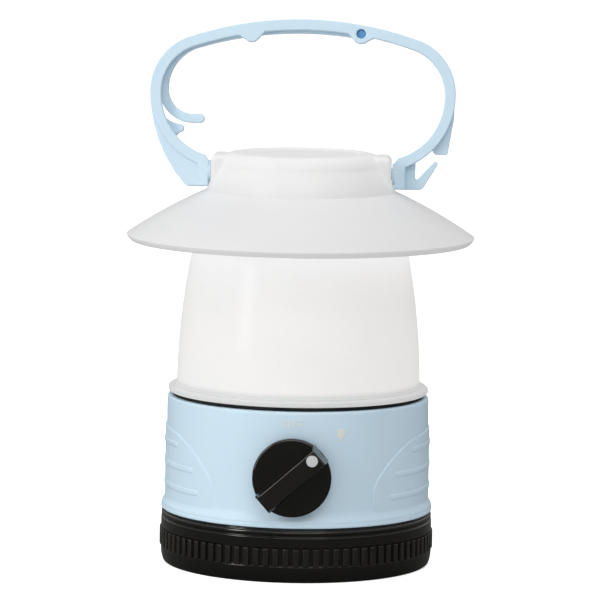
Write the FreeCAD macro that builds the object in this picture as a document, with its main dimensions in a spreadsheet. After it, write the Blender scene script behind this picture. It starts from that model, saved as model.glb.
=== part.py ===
"""A small camping lantern with four upright cells: the parametric model of every piece, in millimetres.

The origin is the centre of the base, +Z is up and the switch knob faces -Y. The bail stands up, leaning back.
"""

import FreeCAD, Part
import math
import os
import re
import Sketcher

X_AXIS = FreeCAD.Vector(1, 0, 0)
Z_AXIS = FreeCAD.Vector(0, 0, 1)
TO_VIEWER = FreeCAD.Vector(0, -1, 0)

# Driving dimensions: millimetres, degrees and counts.
SIZES = {
    # battery cap
    "cap_radius": 45.5,
    "cap_inside": 43.6,
    "cap_floor": 2.0,
    "cap_rim": 17.9,
    "grip_count": 86,
    "grip_low": 5.6,
    "grip_high": 11.4,
    "grip_radius": 46.0,
    "grip_root": 45.2,
    "grip_width": 2.0,
    # quarter-turn thread between cap and body
    "thread_lead": 12.0,
    "thread_count": 4,
    "rib_start": 10.0,
    "rib_height": 1.4,
    "rib_sweep": 60.0,
    "lug_sweep": 15.0,
    "lug_height": 1.6,
    "thread_gap": 0.3,
    # body shell
    "skirt_radius": 42.4,
    "skirt_inside": 40.9,
    "skirt_low": 8.5,
    "flare_low": 18.2,
    "flare_radius": 45.55,
    "wall_low": 22.3,
    "wall_radius": 44.1,
    "wall_inside": 42.0,
    "shell_top": 56.4,
    "shell_rim": 43.75,
    "spigot_radius": 38.4,
    "spigot_inside": 36.6,
    "spigot_top": 60.5,
    "pad_radius": 44.35,
    "pad_rib": 44.7,
    "pad_half": 35.3,
    "pad_shoulder": 20.0,
    "key_half": 2.0,
    # switch
    "switch_height": 35.25,
    "switch_front": 40.5,
    "switch_depth": 12.5,
    "switch_half": 8.0,
    "bush_radius": 3.5,
    "shaft_radius": 2.0,
    "knob_radius": 13.0,
    "knob_back": 45.0,
    "knob_disc": 3.0,
    "knob_bar": 9.9,
    "knob_bar_half": 3.65,
    "knob_angle": 48.5,
    "dot_radius": 1.9,
    "dot_reach": 9.6,
    "dot_side": 0.6,
    # cells and contacts
    "cell_radius": 7.1,
    "cell_length": 50.5,
    "cell_offset": 17.0,
    "cell_low": 7.4,
    "nub_radius": 2.7,
    "nub_height": 1.0,
    "disc_radius": 40.2,
    "disc_low": 2.4,
    "disc_high": 4.6,
    "strap_thick": 0.4,
    "spring_wire": 0.35,
    "spring_coil": 3.6,
    # battery case and lamp
    "well_radius": 7.6,
    "well_wall": 1.2,
    "well_low": 9.0,
    "plate_radius": 38.2,
    "plate_thick": 1.5,
    "board_radius": 22.0,
    "board_low": 64.0,
    "board_thick": 1.6,
    # lens
    "flange_low": 57.8,
    "flange_radius": 43.6,
    "lens_foot": 40.8,
    "lens_waist": 36.9,
    "lens_waist_height": 101.0,
    "lens_neck": 28.6,
    "lens_neck_height": 122.0,
    "lens_top": 125.3,
    "lens_wall": 1.9,
    # shade and collar
    "brim_radius": 58.2,
    "brim_height": 110.0,
    "brim_under": 56.4,
    "brim_under_height": 108.1,
    "collar_foot": 31.6,
    "collar_top": 137.8,
    "collar_shoulder": 27.6,
    "collar_shoulder_height": 133.4,
    "crown_radius": 21.2,
    "ear_face": 30.0,
    "ear_half": 9.0,
    "ear_top": 137.2,
    # bail and hook, heights measured from the pivot axis
    "pivot_height": 131.1,
    "bail_lean": 7.0,
    "bail_front": 3.6,
    "bail_rear": 3.3,
    "web_recess": 0.6,
    "bail_half": 51.0,
    "bail_half_inside": 47.3,
    "bail_belly": 26.1,
    "bail_top": 51.1,
    "bail_top_inside": 47.5,
    "block_inside": 31.0,
    "block_outside": 34.7,
    "block_low": 5.1,
    "peg_radius": 2.0,
    "pin_across": 19.1,
    "pin_height": 46.5,
    "pin_radius": 1.5,
    "bump_across": -17.4,
    "hook_gap": 0.3,
    "hook_width": 3.2,
    "hook_bowl_across": -36.8,
    "hook_bowl_height": 27.6,
    "hook_bowl": 11.5,
}
RUNNING_GAP = 0.08  # radial clearance of a shaft that turns in a hole
SCREW_TURNS = (90, 210, 330)  # where three screws stand about the lantern's axis
CELL_SPOTS = [(1, -1), (-1, -1), (-1, 1), (1, 1)]  # the sides of X and Y that each cell stands on
PAD_RIB_HEIGHTS = (26.9, 34.2, 41.5)

doc = FreeCAD.newDocument("lantern")
dims = doc.addObject("Spreadsheet::Sheet", "dims")
for row, (alias, number) in enumerate(SIZES.items(), start=1):
    dims.set(f"A{row}", alias)
    dims.set(f"B{row}", str(number))
    dims.setAlias(f"B{row}", alias)
doc.recompute()

pieces = []


def bound(formula):
    """The formula as an expression: each alias of the sheet becomes a reference to its cell."""
    return re.sub(r"[a-z_]+", lambda word: f"dims.{word[0]}" if word[0] in SIZES else word[0], str(formula))


def value(formula):
    """The number that a formula over the sheet's aliases gives now."""
    return float(dims.evalExpression(bound(formula)))


def piece(made, label):
    """Names a finished sub-part and keeps it for export."""
    made.Label = label
    pieces.append(made)
    return made


def bind(made, **properties):
    """Binds properties to formulas over the sheet."""
    for name, formula in properties.items():
        made.setExpression(name, bound(formula))
    return made


def move(made, x=0, y=0, z=0):
    """Binds the position of a primitive to formulas over the sheet."""
    for name, formula in (("x", x), ("y", y), ("z", z)):
        made.setExpression(f".Placement.Base.{name}", bound(formula))
    return made


def cylinder(label, radius, height, x=0, y=0, z=0):
    """An upright cylinder that stands on the point (x, y, z)."""
    made = bind(doc.addObject("Part::Cylinder", label), Radius=radius, Height=height)
    return move(made, x, y, z)


def rod(label, radius, length, axis, x=0, y=0, z=0):
    """A cylinder along axis, from the point (x, y, z)."""
    made = cylinder(label, radius, length, x, y, z)
    made.Placement.Rotation = FreeCAD.Rotation(Z_AXIS, axis)
    return made


def box(label, low, high):
    """A box between two corners given as formulas."""
    spans = [f"({top}) - ({bottom})" for bottom, top in zip(low, high)]
    made = bind(doc.addObject("Part::Box", label), Length=spans[0], Width=spans[1], Height=spans[2])
    return move(made, *low)


def fuse(label, *parts):
    """Parts joined into one."""
    made = doc.addObject("Part::MultiFuse", label)
    made.Shapes = list(parts)
    return made


def cut(label, base, *tools):
    """A base with one or more tools cut from it."""
    made = doc.addObject("Part::Cut", label)
    made.Base = base
    made.Tool = tools[0] if len(tools) == 1 else fuse(label + "_tools", *tools)
    return made


def common(label, *parts):
    """What parts share."""
    made = doc.addObject("Part::MultiCommon", label)
    made.Shapes = list(parts)
    return made


def group(label, *parts):
    """Separate solids that share one node."""
    made = doc.addObject("Part::Compound", label)
    made.Links = list(parts)
    return made


def arc_through(start, end, bulge):
    """The arc between two points whose middle stands bulge to the left of the way from start to end."""
    along = end.sub(start)
    left = FreeCAD.Vector(-along.y, along.x, 0).normalize()
    middle = (start + end) * 0.5 + left * bulge
    return Part.Arc(start, middle, end)


def outline(body, label, role, points):
    """A closed sketch on a body's origin plane. Each point is (x, y), or (x, y, bulge) when an arc leads to it."""
    sketch = body.newObject("Sketcher::SketchObject", label)
    plane = [feature for feature in body.Origin.OriginFeatures if feature.Role == role][0]
    sketch.AttachmentSupport = [(plane, "")]
    sketch.MapMode = "FlatFace"
    spots = [FreeCAD.Vector(value(point[0]), value(point[1]), 0) for point in points]
    ends = []
    for index, point in enumerate(points):
        start, end = spots[index - 1], spots[index]
        if len(point) == 2:
            edge = sketch.addGeometry(Part.LineSegment(start, end), False)
            ends.append((edge, 1, 2))
            continue
        edge = sketch.addGeometry(arc_through(start, end, value(point[2])), False)
        drawn_from = sketch.getPoint(edge, 1)
        forward = drawn_from.distanceToPoint(start) < drawn_from.distanceToPoint(end)
        ends.append((edge, 1, 2) if forward else (edge, 2, 1))
        radius = sketch.Geometry[edge].Radius
        sketch.addConstraint(Sketcher.Constraint("Radius", edge, radius))
    for index, point in enumerate(points):
        edge, _, last = ends[index]
        following, first, _ = ends[(index + 1) % len(points)]
        sketch.addConstraint(Sketcher.Constraint("Coincident", edge, last, following, first))
        spot = spots[index]
        for kind, formula, size in (("DistanceX", point[0], spot.x), ("DistanceY", point[1], spot.y)):
            held = sketch.addConstraint(Sketcher.Constraint(kind, edge, last, size))
            sketch.setExpression(f"Constraints[{held}]", bound(formula))
    return sketch


def revolved(label, points):
    """A body turned about Z from an outline of (radius, height) points."""
    body = doc.addObject("PartDesign::Body", label)
    profile = outline(body, label + "_profile", "XZ_Plane", points)
    turn = body.newObject("PartDesign::Revolution", label + "_turn")
    turn.Profile = profile
    turn.ReferenceAxis = (profile, ["V_Axis"])
    turn.Angle = 360
    return body


def padded(label, role, points, thickness, middle=0):
    """A body of an outline padded to thickness, evenly about the plane at distance middle along its normal."""
    body = doc.addObject("PartDesign::Body", label)
    profile = outline(body, label + "_profile", role, points)
    pad = body.newObject("PartDesign::Pad", label + "_pad")
    pad.Profile = profile
    pad.SideType = "Symmetric"
    pad.setExpression("Length", bound(thickness))
    profile.setExpression(".AttachmentOffset.Base.z", bound(middle))
    return body


def rounded(base, label, radius, test):
    """A fillet on each edge of base whose middle passes test."""
    doc.recompute()
    made = doc.addObject("Part::Fillet", label)
    made.Base = base
    chosen = []
    for index, edge in enumerate(base.Shape.Edges, start=1):
        if test(edge.valueAt((edge.FirstParameter + edge.LastParameter) / 2)):
            chosen.append((index, radius, radius))
    made.Edges = chosen
    return made


def helical_ridge(label, inner, outer, low, height, start, sweep):
    """A rectangular ridge that climbs at the thread's lead, once for each of its starts."""
    lead = value("thread_lead")
    climb = lead * sweep / 360
    path = Part.Wire(Part.makeHelix(lead, climb, inner).Edges)
    corners = [(inner, 0), (outer, 0), (outer, height), (inner, height), (inner, 0)]
    section = Part.makePolygon([FreeCAD.Vector(x, 0, z) for x, z in corners])
    ridge = path.makePipeShell([section], True, True)
    ridges = []
    for turn in range(int(value("thread_count"))):
        copy = ridge.copy()
        copy.translate(FreeCAD.Vector(0, 0, low))
        copy.rotate(FreeCAD.Vector(0, 0, 0), Z_AXIS, start + turn * 360 / value("thread_count"))
        ridges.append(copy)
    made = doc.addObject("Part::Feature", label)
    made.Shape = Part.makeCompound(ridges)
    return made


def battery_cap():
    """The cup that closes the base: foot ring, rounded edge, gripped band, groove and rim."""
    body = revolved("cap_cup", [
        (0, 0.8), (35.5, 0.8), (35.5, 0), ("cap_radius - 2.1", 0), ("cap_radius", 2.6, -0.55),
        ("cap_radius", "grip_low - 0.2"), ("grip_root", "grip_low"), ("grip_root", "grip_high"),
        ("cap_radius", "grip_high + 0.4"), ("cap_radius", 15.0), ("cap_radius - 0.4", 15.3),
        ("cap_radius - 0.4", 15.7), ("cap_radius - 0.15", 15.9), ("cap_radius - 0.15", 16.9),
        ("cap_radius - 0.5", 17.2), ("cap_radius - 0.5", "cap_rim"), ("cap_inside", "cap_rim"),
        ("cap_inside", "cap_floor"), (0, "cap_floor"),
    ])
    tooth = outline(body, "grip_tooth", "XY_Plane", [
        ("grip_root - 0.3", "-grip_width / 2"), ("grip_radius - 0.3", "-grip_width / 2"),
        ("grip_radius", "-grip_width / 2 + 0.35"), ("grip_radius", "grip_width / 2 - 0.35"),
        ("grip_radius - 0.3", "grip_width / 2"), ("grip_root - 0.3", "grip_width / 2"),
    ])
    tooth.setExpression(".AttachmentOffset.Base.z", bound("grip_low"))
    pad = body.newObject("PartDesign::Pad", "grip_pad")
    pad.Profile = tooth
    pad.setExpression("Length", bound("grip_high - grip_low"))
    doc.recompute()
    ring = body.newObject("PartDesign::PolarPattern", "grip_ring")
    ring.Originals = [pad]
    ring.Axis = (tooth, ["N_Axis"])
    ring.Angle = 360
    ring.setExpression("Occurrences", bound("grip_count"))
    body.Tip = ring
    lug_low = value("rib_start + rib_height + thread_gap")
    lug_start = value("rib_sweep - lug_sweep") - 1
    lugs = helical_ridge(
        "cap_lugs", value("skirt_radius") + 0.35, value("cap_inside") + 0.2,
        lug_low + value("thread_lead") * lug_start / 360, value("lug_height"), lug_start, value("lug_sweep"),
    )
    screw_hole = cylinder("cap_pilot", 1.4, 3, z=0.9)
    piece(cut("cap_cut", fuse("cap_fuse", body, lugs), screw_hole), "battery_cap")


def body_shell():
    """The blue housing: threaded skirt, flared foot, wall with gripping pads, top flange and lens spigot."""
    wall = revolved("shell_wall", [
        ("skirt_inside", "skirt_low"), ("skirt_radius", "skirt_low"), ("skirt_radius", "flare_low"),
        ("flare_radius - 0.25", "flare_low"), ("flare_radius", "flare_low + 0.3"),
        ("flare_radius", "flare_low + 1.0"), ("flare_radius - 0.15", "flare_low + 1.2"),
        ("flare_radius - 0.15", "flare_low + 2.1"), ("wall_radius", "wall_low", -0.45),
        ("shell_rim + 0.1", "shell_top - 1.2"), ("shell_rim", "shell_top - 0.8"),
        ("shell_rim - 0.7", "shell_top", 0.25), ("spigot_radius", "shell_top"), ("spigot_radius", "spigot_top"),
        ("spigot_inside", "spigot_top"), ("spigot_inside", "shell_top - 1.8"), ("wall_inside", "shell_top - 1.8"),
        ("wall_inside", "wall_low - 1.3"), ("skirt_inside", "wall_low - 3.3"),
    ])
    pads = []
    for label, inset, radius in (("pad", 0, "pad_radius"), ("pad_ribs", 3.5, "pad_rib")):
        half, shoulder, top = value("pad_half") - inset, value("pad_shoulder") - inset / 2, 46.5 - inset / 2
        arch = padded(label + "_arch", "YZ_Plane", [
            (-half, 22), (-half, 30), (-shoulder, top - 1.3, 3.0), (shoulder, top - 1.3, 1.3),
            (half, 30, 3.0), (half, 22),
        ], 100)
        profile = [("wall_inside + 1", "wall_low"), ("pad_radius", "wall_low")]
        if label == "pad_ribs":
            for height in PAD_RIB_HEIGHTS:
                profile += [
                    ("pad_radius", height - 1.1), (radius, height - 0.5), (radius, height + 0.5),
                    ("pad_radius", height + 1.1),
                ]
        profile += [("pad_radius - 0.1", 48), ("wall_inside + 1", 48)]
        pads.append(common(label, revolved(label + "_sleeve", profile), arch))
    ribs = helical_ridge(
        "shell_ribs", value("skirt_radius") - 0.2, value("cap_inside") - 0.4,
        value("rib_start"), value("rib_height"), 0, value("rib_sweep"),
    )
    seat = box("switch_seat", ("-switch_half - 1", "-wall_inside - 1", "switch_height - 9"),
               ("switch_half + 1", "-switch_front", "switch_height + 9"))
    keys = [box(f"key_{side}", (f"{side} * 40.1 - 1.3", "-key_half", 2.35), (f"{side} * 40.1 + 1.3", "key_half", 18))
            for side in (-1, 1)]
    bosses = [polar(cylinder(f"boss_{turn}", 2.6, "spigot_top - shell_top + 1.8", z="shell_top - 1.8"), 34.6, turn)
              for turn in SCREW_TURNS]
    pilots = [polar(cylinder(f"pilot_{turn}", 0.9, 5, z="spigot_top - 4.5"), 34.6, turn) for turn in SCREW_TURNS]
    bush_hole = rod("bush_hole", "bush_radius + 0.1", 12, TO_VIEWER, y="-switch_front + 3", z="switch_height")
    solid = fuse("shell_fuse", wall, *pads, ribs, seat, *keys, *bosses)
    piece(cut("shell_cut", solid, bush_hole, *pilots), "body_shell")


def polar(made, radius, turn):
    """Binds a primitive's place to a radius and an angle about the lantern's axis."""
    made.setExpression(".Placement.Base.x", bound(f"({radius}) * cos({turn} deg)"))
    made.setExpression(".Placement.Base.y", bound(f"({radius}) * sin({turn} deg)"))
    return made


def torus(label, centre_radius, section, height, name):
    """A seal of round section about the lantern's axis."""
    ring = bind(doc.addObject("Part::Torus", label), Radius1=centre_radius, Radius2=section)
    piece(move(ring, z=height), name)


def lens():
    """The frosted globe: flange, slightly bellied wall, tapering neck and closed top."""
    globe = revolved("lens_globe", [
        ("lens_foot - lens_wall", "flange_low"), ("flange_radius - 0.3", "flange_low"),
        ("flange_radius", "flange_low + 0.4"), ("flange_radius", "flange_low + 1.3"),
        ("flange_radius - 0.5", "flange_low + 1.8", 0.15), ("lens_foot + 0.6", "flange_low + 1.9"),
        ("lens_foot", "flange_low + 2.6", -0.25), ("lens_waist", "lens_waist_height", -0.85),
        ("lens_neck", "lens_neck_height", -1.12), ("lens_neck", "lens_top"), (0, "lens_top"),
        (0, "lens_top - lens_wall"), ("lens_neck - lens_wall", "lens_top - lens_wall"),
        ("lens_neck - lens_wall", "lens_neck_height - 0.6"),
        ("lens_waist - lens_wall", "lens_waist_height - 0.2", 1.05),
        ("lens_foot - lens_wall", "flange_low + 2.6", 0.85),
    ])
    pilots = [polar(cylinder(f"lens_pilot_{turn}", 1.2, 6, z="lens_top - 4"), 20, turn) for turn in SCREW_TURNS]
    piece(cut("lens_cut", globe, *pilots), "lens")


def shade():
    """The translucent hat: brim, domed collar, two flat-faced ears for the bail and an open crown."""
    hat = revolved("shade_hat", [
        ("crown_radius - 0.3", "collar_top + 0.1"), ("crown_radius + 1.2", "collar_top"),
        ("collar_shoulder", "collar_shoulder_height", 1.35), ("collar_foot", "brim_height + 15.2", 0.25),
        ("brim_radius - 0.2", "brim_height + 0.4", 0.7), ("brim_radius - 0.1", "brim_height - 0.2", 0.15),
        ("brim_under + 0.2", "brim_under_height"), ("brim_under - 0.3", "brim_under_height + 0.15", 0.08),
        (32.6, 121.6, -0.7), (29.2, 121.6), (29.2, "lens_top"), (6, "lens_top"), (6, "lens_top + 2"),
        ("collar_shoulder - 0.4", "lens_top + 2"), ("collar_shoulder - 2.2", "collar_shoulder_height - 0.4", -0.2),
        ("crown_radius - 1.2", "collar_top - 2.2", -1.0), ("crown_radius - 2.2", "collar_top - 2.2"),
        ("crown_radius - 2.2", "collar_top - 1.5"), ("crown_radius - 0.3", "collar_top - 1.5"),
    ])
    ears, holes = [], []
    for side in (-1, 1):
        points = [
            (f"{side} * 22", "lens_top + 1.1"), (f"{side} * ear_face", "lens_top + 1.1"),
            (f"{side} * ear_face", "ear_top - 2"), (f"{side} * (ear_face - 2)", "ear_top", side * 0.6),
            (f"{side} * 22", "ear_top"),
        ]
        ear = padded(f"ear_{side}", "XZ_Plane", points, "2 * ear_half")
        ears.append(rounded(ear, f"ear_round_{side}", 1.2,
                            lambda spot: abs(abs(spot.y) - value("ear_half")) < 0.1 and abs(spot.x) > 22.5
                            and spot.z > value("lens_top") + 1.5))
        way = FreeCAD.Vector(side, 0, 0)
        low, high = sorted((side * value("ear_face"), side * (value("ear_face") + 6)))
        holes.append(box(f"ear_flat_{side}", (low, "-ear_half", "lens_top + 0.4"), (high, "ear_half", 140)))
        holes.append(rod(f"ear_scoop_{side}", "block_low + 1.6", 6, way, x=f"{side} * ear_face", z="pivot_height"))
        holes.append(rod(f"ear_hole_{side}", f"peg_radius + {RUNNING_GAP}", 8, way, x=f"{side} * 25.4",
                         z="pivot_height"))
    holes += [polar(cylinder(f"shade_hole_{turn}", 1.4, 4, z="lens_top - 1"), 20, turn) for turn in SCREW_TURNS]
    piece(cut("shade_cut", fuse("shade_fuse", hat, *ears), *holes), "shade")


def top_cap():
    """The disc that closes the crown, a little below the crown's edge."""
    piece(revolved("top_cap_body", [
        (0, "collar_top - 1.5"), ("crown_radius - 0.5", "collar_top - 1.5"),
        ("crown_radius - 0.5", "collar_top - 0.3"), ("crown_radius - 0.9", "collar_top"),
        ("crown_radius - 2.2", "collar_top - 0.4"),
        (0, "collar_top - 0.4"),
    ]), "top_cap")


def screws(name, head_radius, head_height, shank_radius, shank_length, seat, reach, turns):
    """Pan-head screws that share one node: heads stand on the height seat, at radius reach."""
    made = []
    for turn in turns:
        head = polar(cylinder(f"{name}_head_{turn}", head_radius, head_height, z=seat), reach, turn)
        shank = polar(cylinder(f"{name}_shank_{turn}", shank_radius, shank_length, z=f"{seat} - {shank_length}"),
                      reach, turn)
        slot = polar(cylinder(f"{name}_socket_{turn}", f"{head_radius} * 0.45", 1,
                              z=f"{seat} + {head_height} * 0.5"), reach, turn)
        made.append(cut(f"{name}_{turn}", fuse(f"{name}_solid_{turn}", head, shank), slot))
    piece(group(name + "_group", *made), name)


def cells():
    """Four cells on a square, each the other way up from the one before."""
    for number, (along_x, along_y) in enumerate(CELL_SPOTS, start=1):
        spot = {"x": f"{along_x} * cell_offset", "y": f"{along_y} * cell_offset"}
        upright = number % 2
        can_low = "cell_low" if upright else "cell_low + nub_height"
        nub_low = "cell_low + cell_length - nub_height" if upright else "cell_low"
        can = cylinder(f"can_{number}", "cell_radius", "cell_length - nub_height", z=can_low, **spot)
        nub = cylinder(f"nub_{number}", "nub_radius", "nub_height", z=nub_low, **spot)
        piece(fuse(f"cell_{number}_fuse", can, nub), f"cell_{number}")


def battery_case():
    """Four wells that hang from a round plate, with stands for the lamp board."""
    plate = cylinder("case_plate", "plate_radius", "plate_thick", z="spigot_top")
    walls, wells, contacts = [], [], []
    for number, (along_x, along_y) in enumerate(CELL_SPOTS, start=1):
        spot = {"x": f"{along_x} * cell_offset", "y": f"{along_y} * cell_offset"}
        walls.append(cylinder(f"well_wall_{number}", "well_radius + well_wall", "spigot_top - well_low",
                              z="well_low", **spot))
        wells.append(cylinder(f"well_{number}", "well_radius", "spigot_top - well_low + 1",
                              z="well_low - 1", **spot))
        disc = cylinder(f"top_disc_{number}", "cell_radius", "strap_thick",
                        z="spigot_top - strap_thick", **spot)
        button = cylinder(f"top_button_{number}", 2.5, "spigot_top - strap_thick - cell_low - cell_length",
                          z="cell_low + cell_length", **spot)
        contacts.append(fuse(f"top_contact_{number}", disc, button))
    stands = [cylinder(f"stand_{side}", 2.5, "board_low - spigot_top - plate_thick", x=f"{side} * 17",
                       z="spigot_top + plate_thick") for side in (-1, 1)]
    holes = [polar(cylinder(f"case_hole_{turn}", 1.3, 4, z="spigot_top - 1"), 34.6, turn) for turn in SCREW_TURNS]
    holes += [cylinder(f"stand_hole_{side}", 0.9, 4, x=f"{side} * 17", z="board_low - 3") for side in (-1, 1)]
    holes += [cylinder(f"wire_hole_{side}", 1.6, 4, x=f"{side} * 4", y=-18, z="spigot_top - 1") for side in (-1, 1)]
    piece(cut("case_cut", fuse("case_fuse", plate, *walls, *stands), *wells, *holes), "battery_case")
    piece(group("top_contacts_group", *contacts), "top_contacts")


def lamp():
    """The board with its lamp and the white reflector over it."""
    board = cylinder("board_disc", "board_radius", "board_thick", z="board_low")
    holes = [cylinder(f"board_hole_{side}", 1.0, 4, x=f"{side} * 17", z="board_low - 1") for side in (-1, 1)]
    piece(cut("board_cut", board, *holes), "led_board")
    base = box("led_base", (-2.5, -2.5, "board_low + board_thick"), (2.5, 2.5, "board_low + board_thick + 1.2"))
    dome = bind(doc.addObject("Part::Sphere", "led_dome"), Radius=2.2)
    dome.Angle1 = 0
    move(dome, z="board_low + board_thick + 1.2")
    piece(fuse("led_fuse", base, dome), "led")
    piece(revolved("reflector_body", [
        (4.5, 66.9), (20.0, 66.9), (37.6, 62.7), (37.6, 63.9), (20.3, 68.1), (4.5, 68.1),
    ]), "reflector")


def switch():
    """The rotary switch behind the wall, with its nut, blades and wires."""
    case = box("switch_case", ("-switch_half", "-switch_front", "switch_height - 7"),
               ("switch_half", "-switch_front + switch_depth", "switch_height + 7"))
    bush = rod("switch_bush", "bush_radius", 5.6, TO_VIEWER, y="-switch_front", z="switch_height")
    bore = rod("switch_bore", "shaft_radius + 0.06", 12, TO_VIEWER, y="-switch_front + 5", z="switch_height")
    piece(cut("switch_cut", fuse("switch_fuse", case, bush), bore), "switch_body")
    nut = doc.addObject("Part::Prism", "nut_prism")
    nut.Polygon = 6
    bind(nut, Circumradius=5.2, Height=1.5)
    move(nut, y="-wall_radius - 0.25", z="switch_height")
    nut.Placement.Rotation = FreeCAD.Rotation(Z_AXIS, TO_VIEWER)
    bush_space = rod("nut_hole", "bush_radius", 6, TO_VIEWER, y="-wall_radius + 2", z="switch_height")
    piece(cut("nut_cut", nut, bush_space), "switch_nut")
    blades = [box(f"blade_{side}", (f"{side} * 4 - 1.5", "-switch_front + switch_depth", "switch_height - 0.4"),
                  (f"{side} * 4 + 1.5", "-switch_front + switch_depth + 4.5", "switch_height + 0.4"))
              for side in (-1, 1)]
    piece(group("blades_group", *blades), "switch_terminals")
    for side, name in ((-1, "wire_black"), (1, "wire_red")):
        wire(side, name)


def wire(side, name):
    """An insulated wire from a switch blade, up through the plate to the lamp board."""
    across, radius, bend = side * 4.0, 0.8, 3.0
    height = value("switch_height")
    start = FreeCAD.Vector(across, value("-switch_front + switch_depth") + 4.5, height)
    corner = FreeCAD.Vector(across, -18, height)
    end = FreeCAD.Vector(across, -18, value("board_low"))
    turn_in, turn_out = corner - FreeCAD.Vector(0, bend, 0), corner + FreeCAD.Vector(0, 0, bend)
    middle = turn_in + FreeCAD.Vector(0, bend * math.sin(math.pi / 4), bend * (1 - math.cos(math.pi / 4)))
    edges = [
        Part.LineSegment(start, turn_in), Part.Arc(turn_in, middle, turn_out), Part.LineSegment(turn_out, end),
    ]
    path = Part.Wire([edge.toShape() for edge in edges])
    section = Part.Wire([Part.makeCircle(radius, start, FreeCAD.Vector(0, 1, 0))])
    made = doc.addObject("Part::Feature", name + "_tube")
    made.Shape = path.makePipeShell([section], True, True)
    piece(made, name)


def knob():
    """The knob: a disc with a diametral grip bar that points, its dot, and the shaft it turns.

    It is drawn with its face up and its pointer along +Y, then turned to the viewer and to the lit position.
    """
    disc = rounded(cylinder("knob_disc_solid", "knob_radius", "knob_disc"), "knob_disc_round", 0.7,
                   lambda spot: spot.z > value("knob_disc") - 0.1)
    bar = padded("knob_bar_body", "YZ_Plane", [
        (-12.6, 0.5), (-12.6, "knob_bar - 2.5"), (-11.2, "knob_bar - 0.3"), (12.1, "knob_bar"), (12.8, 2.6),
        (12.8, 0.5),
    ], "2 * knob_bar_half")
    bar = rounded(bar, "knob_bar_round", 0.6, lambda spot: spot.z > value("knob_bar") / 2 + 0.2)
    recess = cylinder("knob_recess", 7.0, 1.6, z=0)
    bore = cylinder("knob_bore", "shaft_radius", 7.0, z=0)
    pocket = cylinder("dot_pocket", "dot_radius", 1.0, x="-dot_side", y="dot_reach", z="knob_bar - 0.5")
    body = cut("knob_cut", fuse("knob_fuse", disc, bar), recess, bore, pocket)
    dot = cylinder("dot_disc", "dot_radius", 0.55, x="-dot_side", y="dot_reach", z="knob_bar - 0.5")
    shaft = cylinder("shaft_rod", "shaft_radius", "7.0 + knob_back - switch_front + 3.5",
                     z="switch_front - knob_back - 3.5")
    face_out = FreeCAD.Rotation(X_AXIS, 90)
    pointing = FreeCAD.Rotation(TO_VIEWER, -value("knob_angle"))
    spot = FreeCAD.Placement(FreeCAD.Vector(0, -value("knob_back"), value("switch_height")),
                             pointing.multiply(face_out))
    for made, name in ((body, "knob"), (dot, "knob_dot"), (shaft, "switch_shaft")):
        placed = group(name + "_placed", made)
        placed.Placement = spot
        piece(placed, name)


def contact_disc():
    """The disc that carries the lower contacts: notched for the body's keys, so that it can't turn."""
    disc = cylinder("disc_plate", "disc_radius", "disc_high - disc_low", z="disc_low")
    notches = [box(f"notch_{side}", (f"{side} * 40.4 - 2.0", "-key_half - 0.4", 0),
                   (f"{side} * 40.4 + 2.0", "key_half + 0.4", 8)) for side in (-1, 1)]
    hole = cylinder("disc_hole", f"1.4 + {RUNNING_GAP}", 6, z=0)
    piece(cut("disc_cut", disc, hole, *notches), "contact_disc")
    springs, straps = [], []
    for along_y in (-1, 1):
        strap = box(f"strap_{along_y}", (-20, f"{along_y} * cell_offset - 4", "disc_high"),
                    (20, f"{along_y} * cell_offset + 4", "disc_high + strap_thick"))
        inverted = [spot for number, spot in enumerate(CELL_SPOTS, start=1) if number % 2 == 0]
        button_side = [x for x, y in inverted if y == along_y][0]
        button = cylinder(f"button_{along_y}", 2.2, "cell_low - disc_high - strap_thick",
                          x=f"{button_side} * cell_offset", y=f"{along_y} * cell_offset",
                          z="disc_high + strap_thick")
        straps.append(fuse(f"strap_fuse_{along_y}", strap, button))
        springs.append(spring(-button_side, along_y))
    piece(group("straps_group", *straps), "contact_straps")
    piece(group("springs_group", *springs), "cell_springs")


def spring(along_x, along_y):
    """A short coil pressed between a strap and the flat end of a cell."""
    wire_radius, coil = value("spring_wire"), value("spring_coil")
    low = value("disc_high + strap_thick") + wire_radius
    high = value("cell_low") - wire_radius
    turns = 2
    helix = Part.makeHelix((high - low) / turns, high - low, coil)
    section = Part.Wire([Part.makeCircle(wire_radius, FreeCAD.Vector(coil, 0, 0), FreeCAD.Vector(0, 1, 0))])
    made = doc.addObject("Part::Feature", f"spring_{along_x}_{along_y}")
    made.Shape = Part.Wire(helix.Edges).makePipeShell([section], True, True)
    offset = value("cell_offset")
    made.Placement = FreeCAD.Placement(FreeCAD.Vector(along_x * offset, along_y * offset, low), FreeCAD.Rotation())
    return made


def leaning(made, name):
    """Puts a piece drawn upright about the pivot axis in its place on the lantern, leaning back."""
    placed = group(name + "_placed", made)
    turn = FreeCAD.Rotation(X_AXIS, -value("bail_lean"))
    placed.Placement = FreeCAD.Placement(FreeCAD.Vector(0, 0, value("pivot_height")), turn)
    return piece(placed, name)


def slab(label, points, front, rear):
    """A flat piece of the bail: an outline of (across, up) points between two depths along Y."""
    middle = f"-(({front}) + ({rear})) / 2"
    return padded(label, "XZ_Plane", points, f"({rear}) - ({front})", middle)


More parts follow.
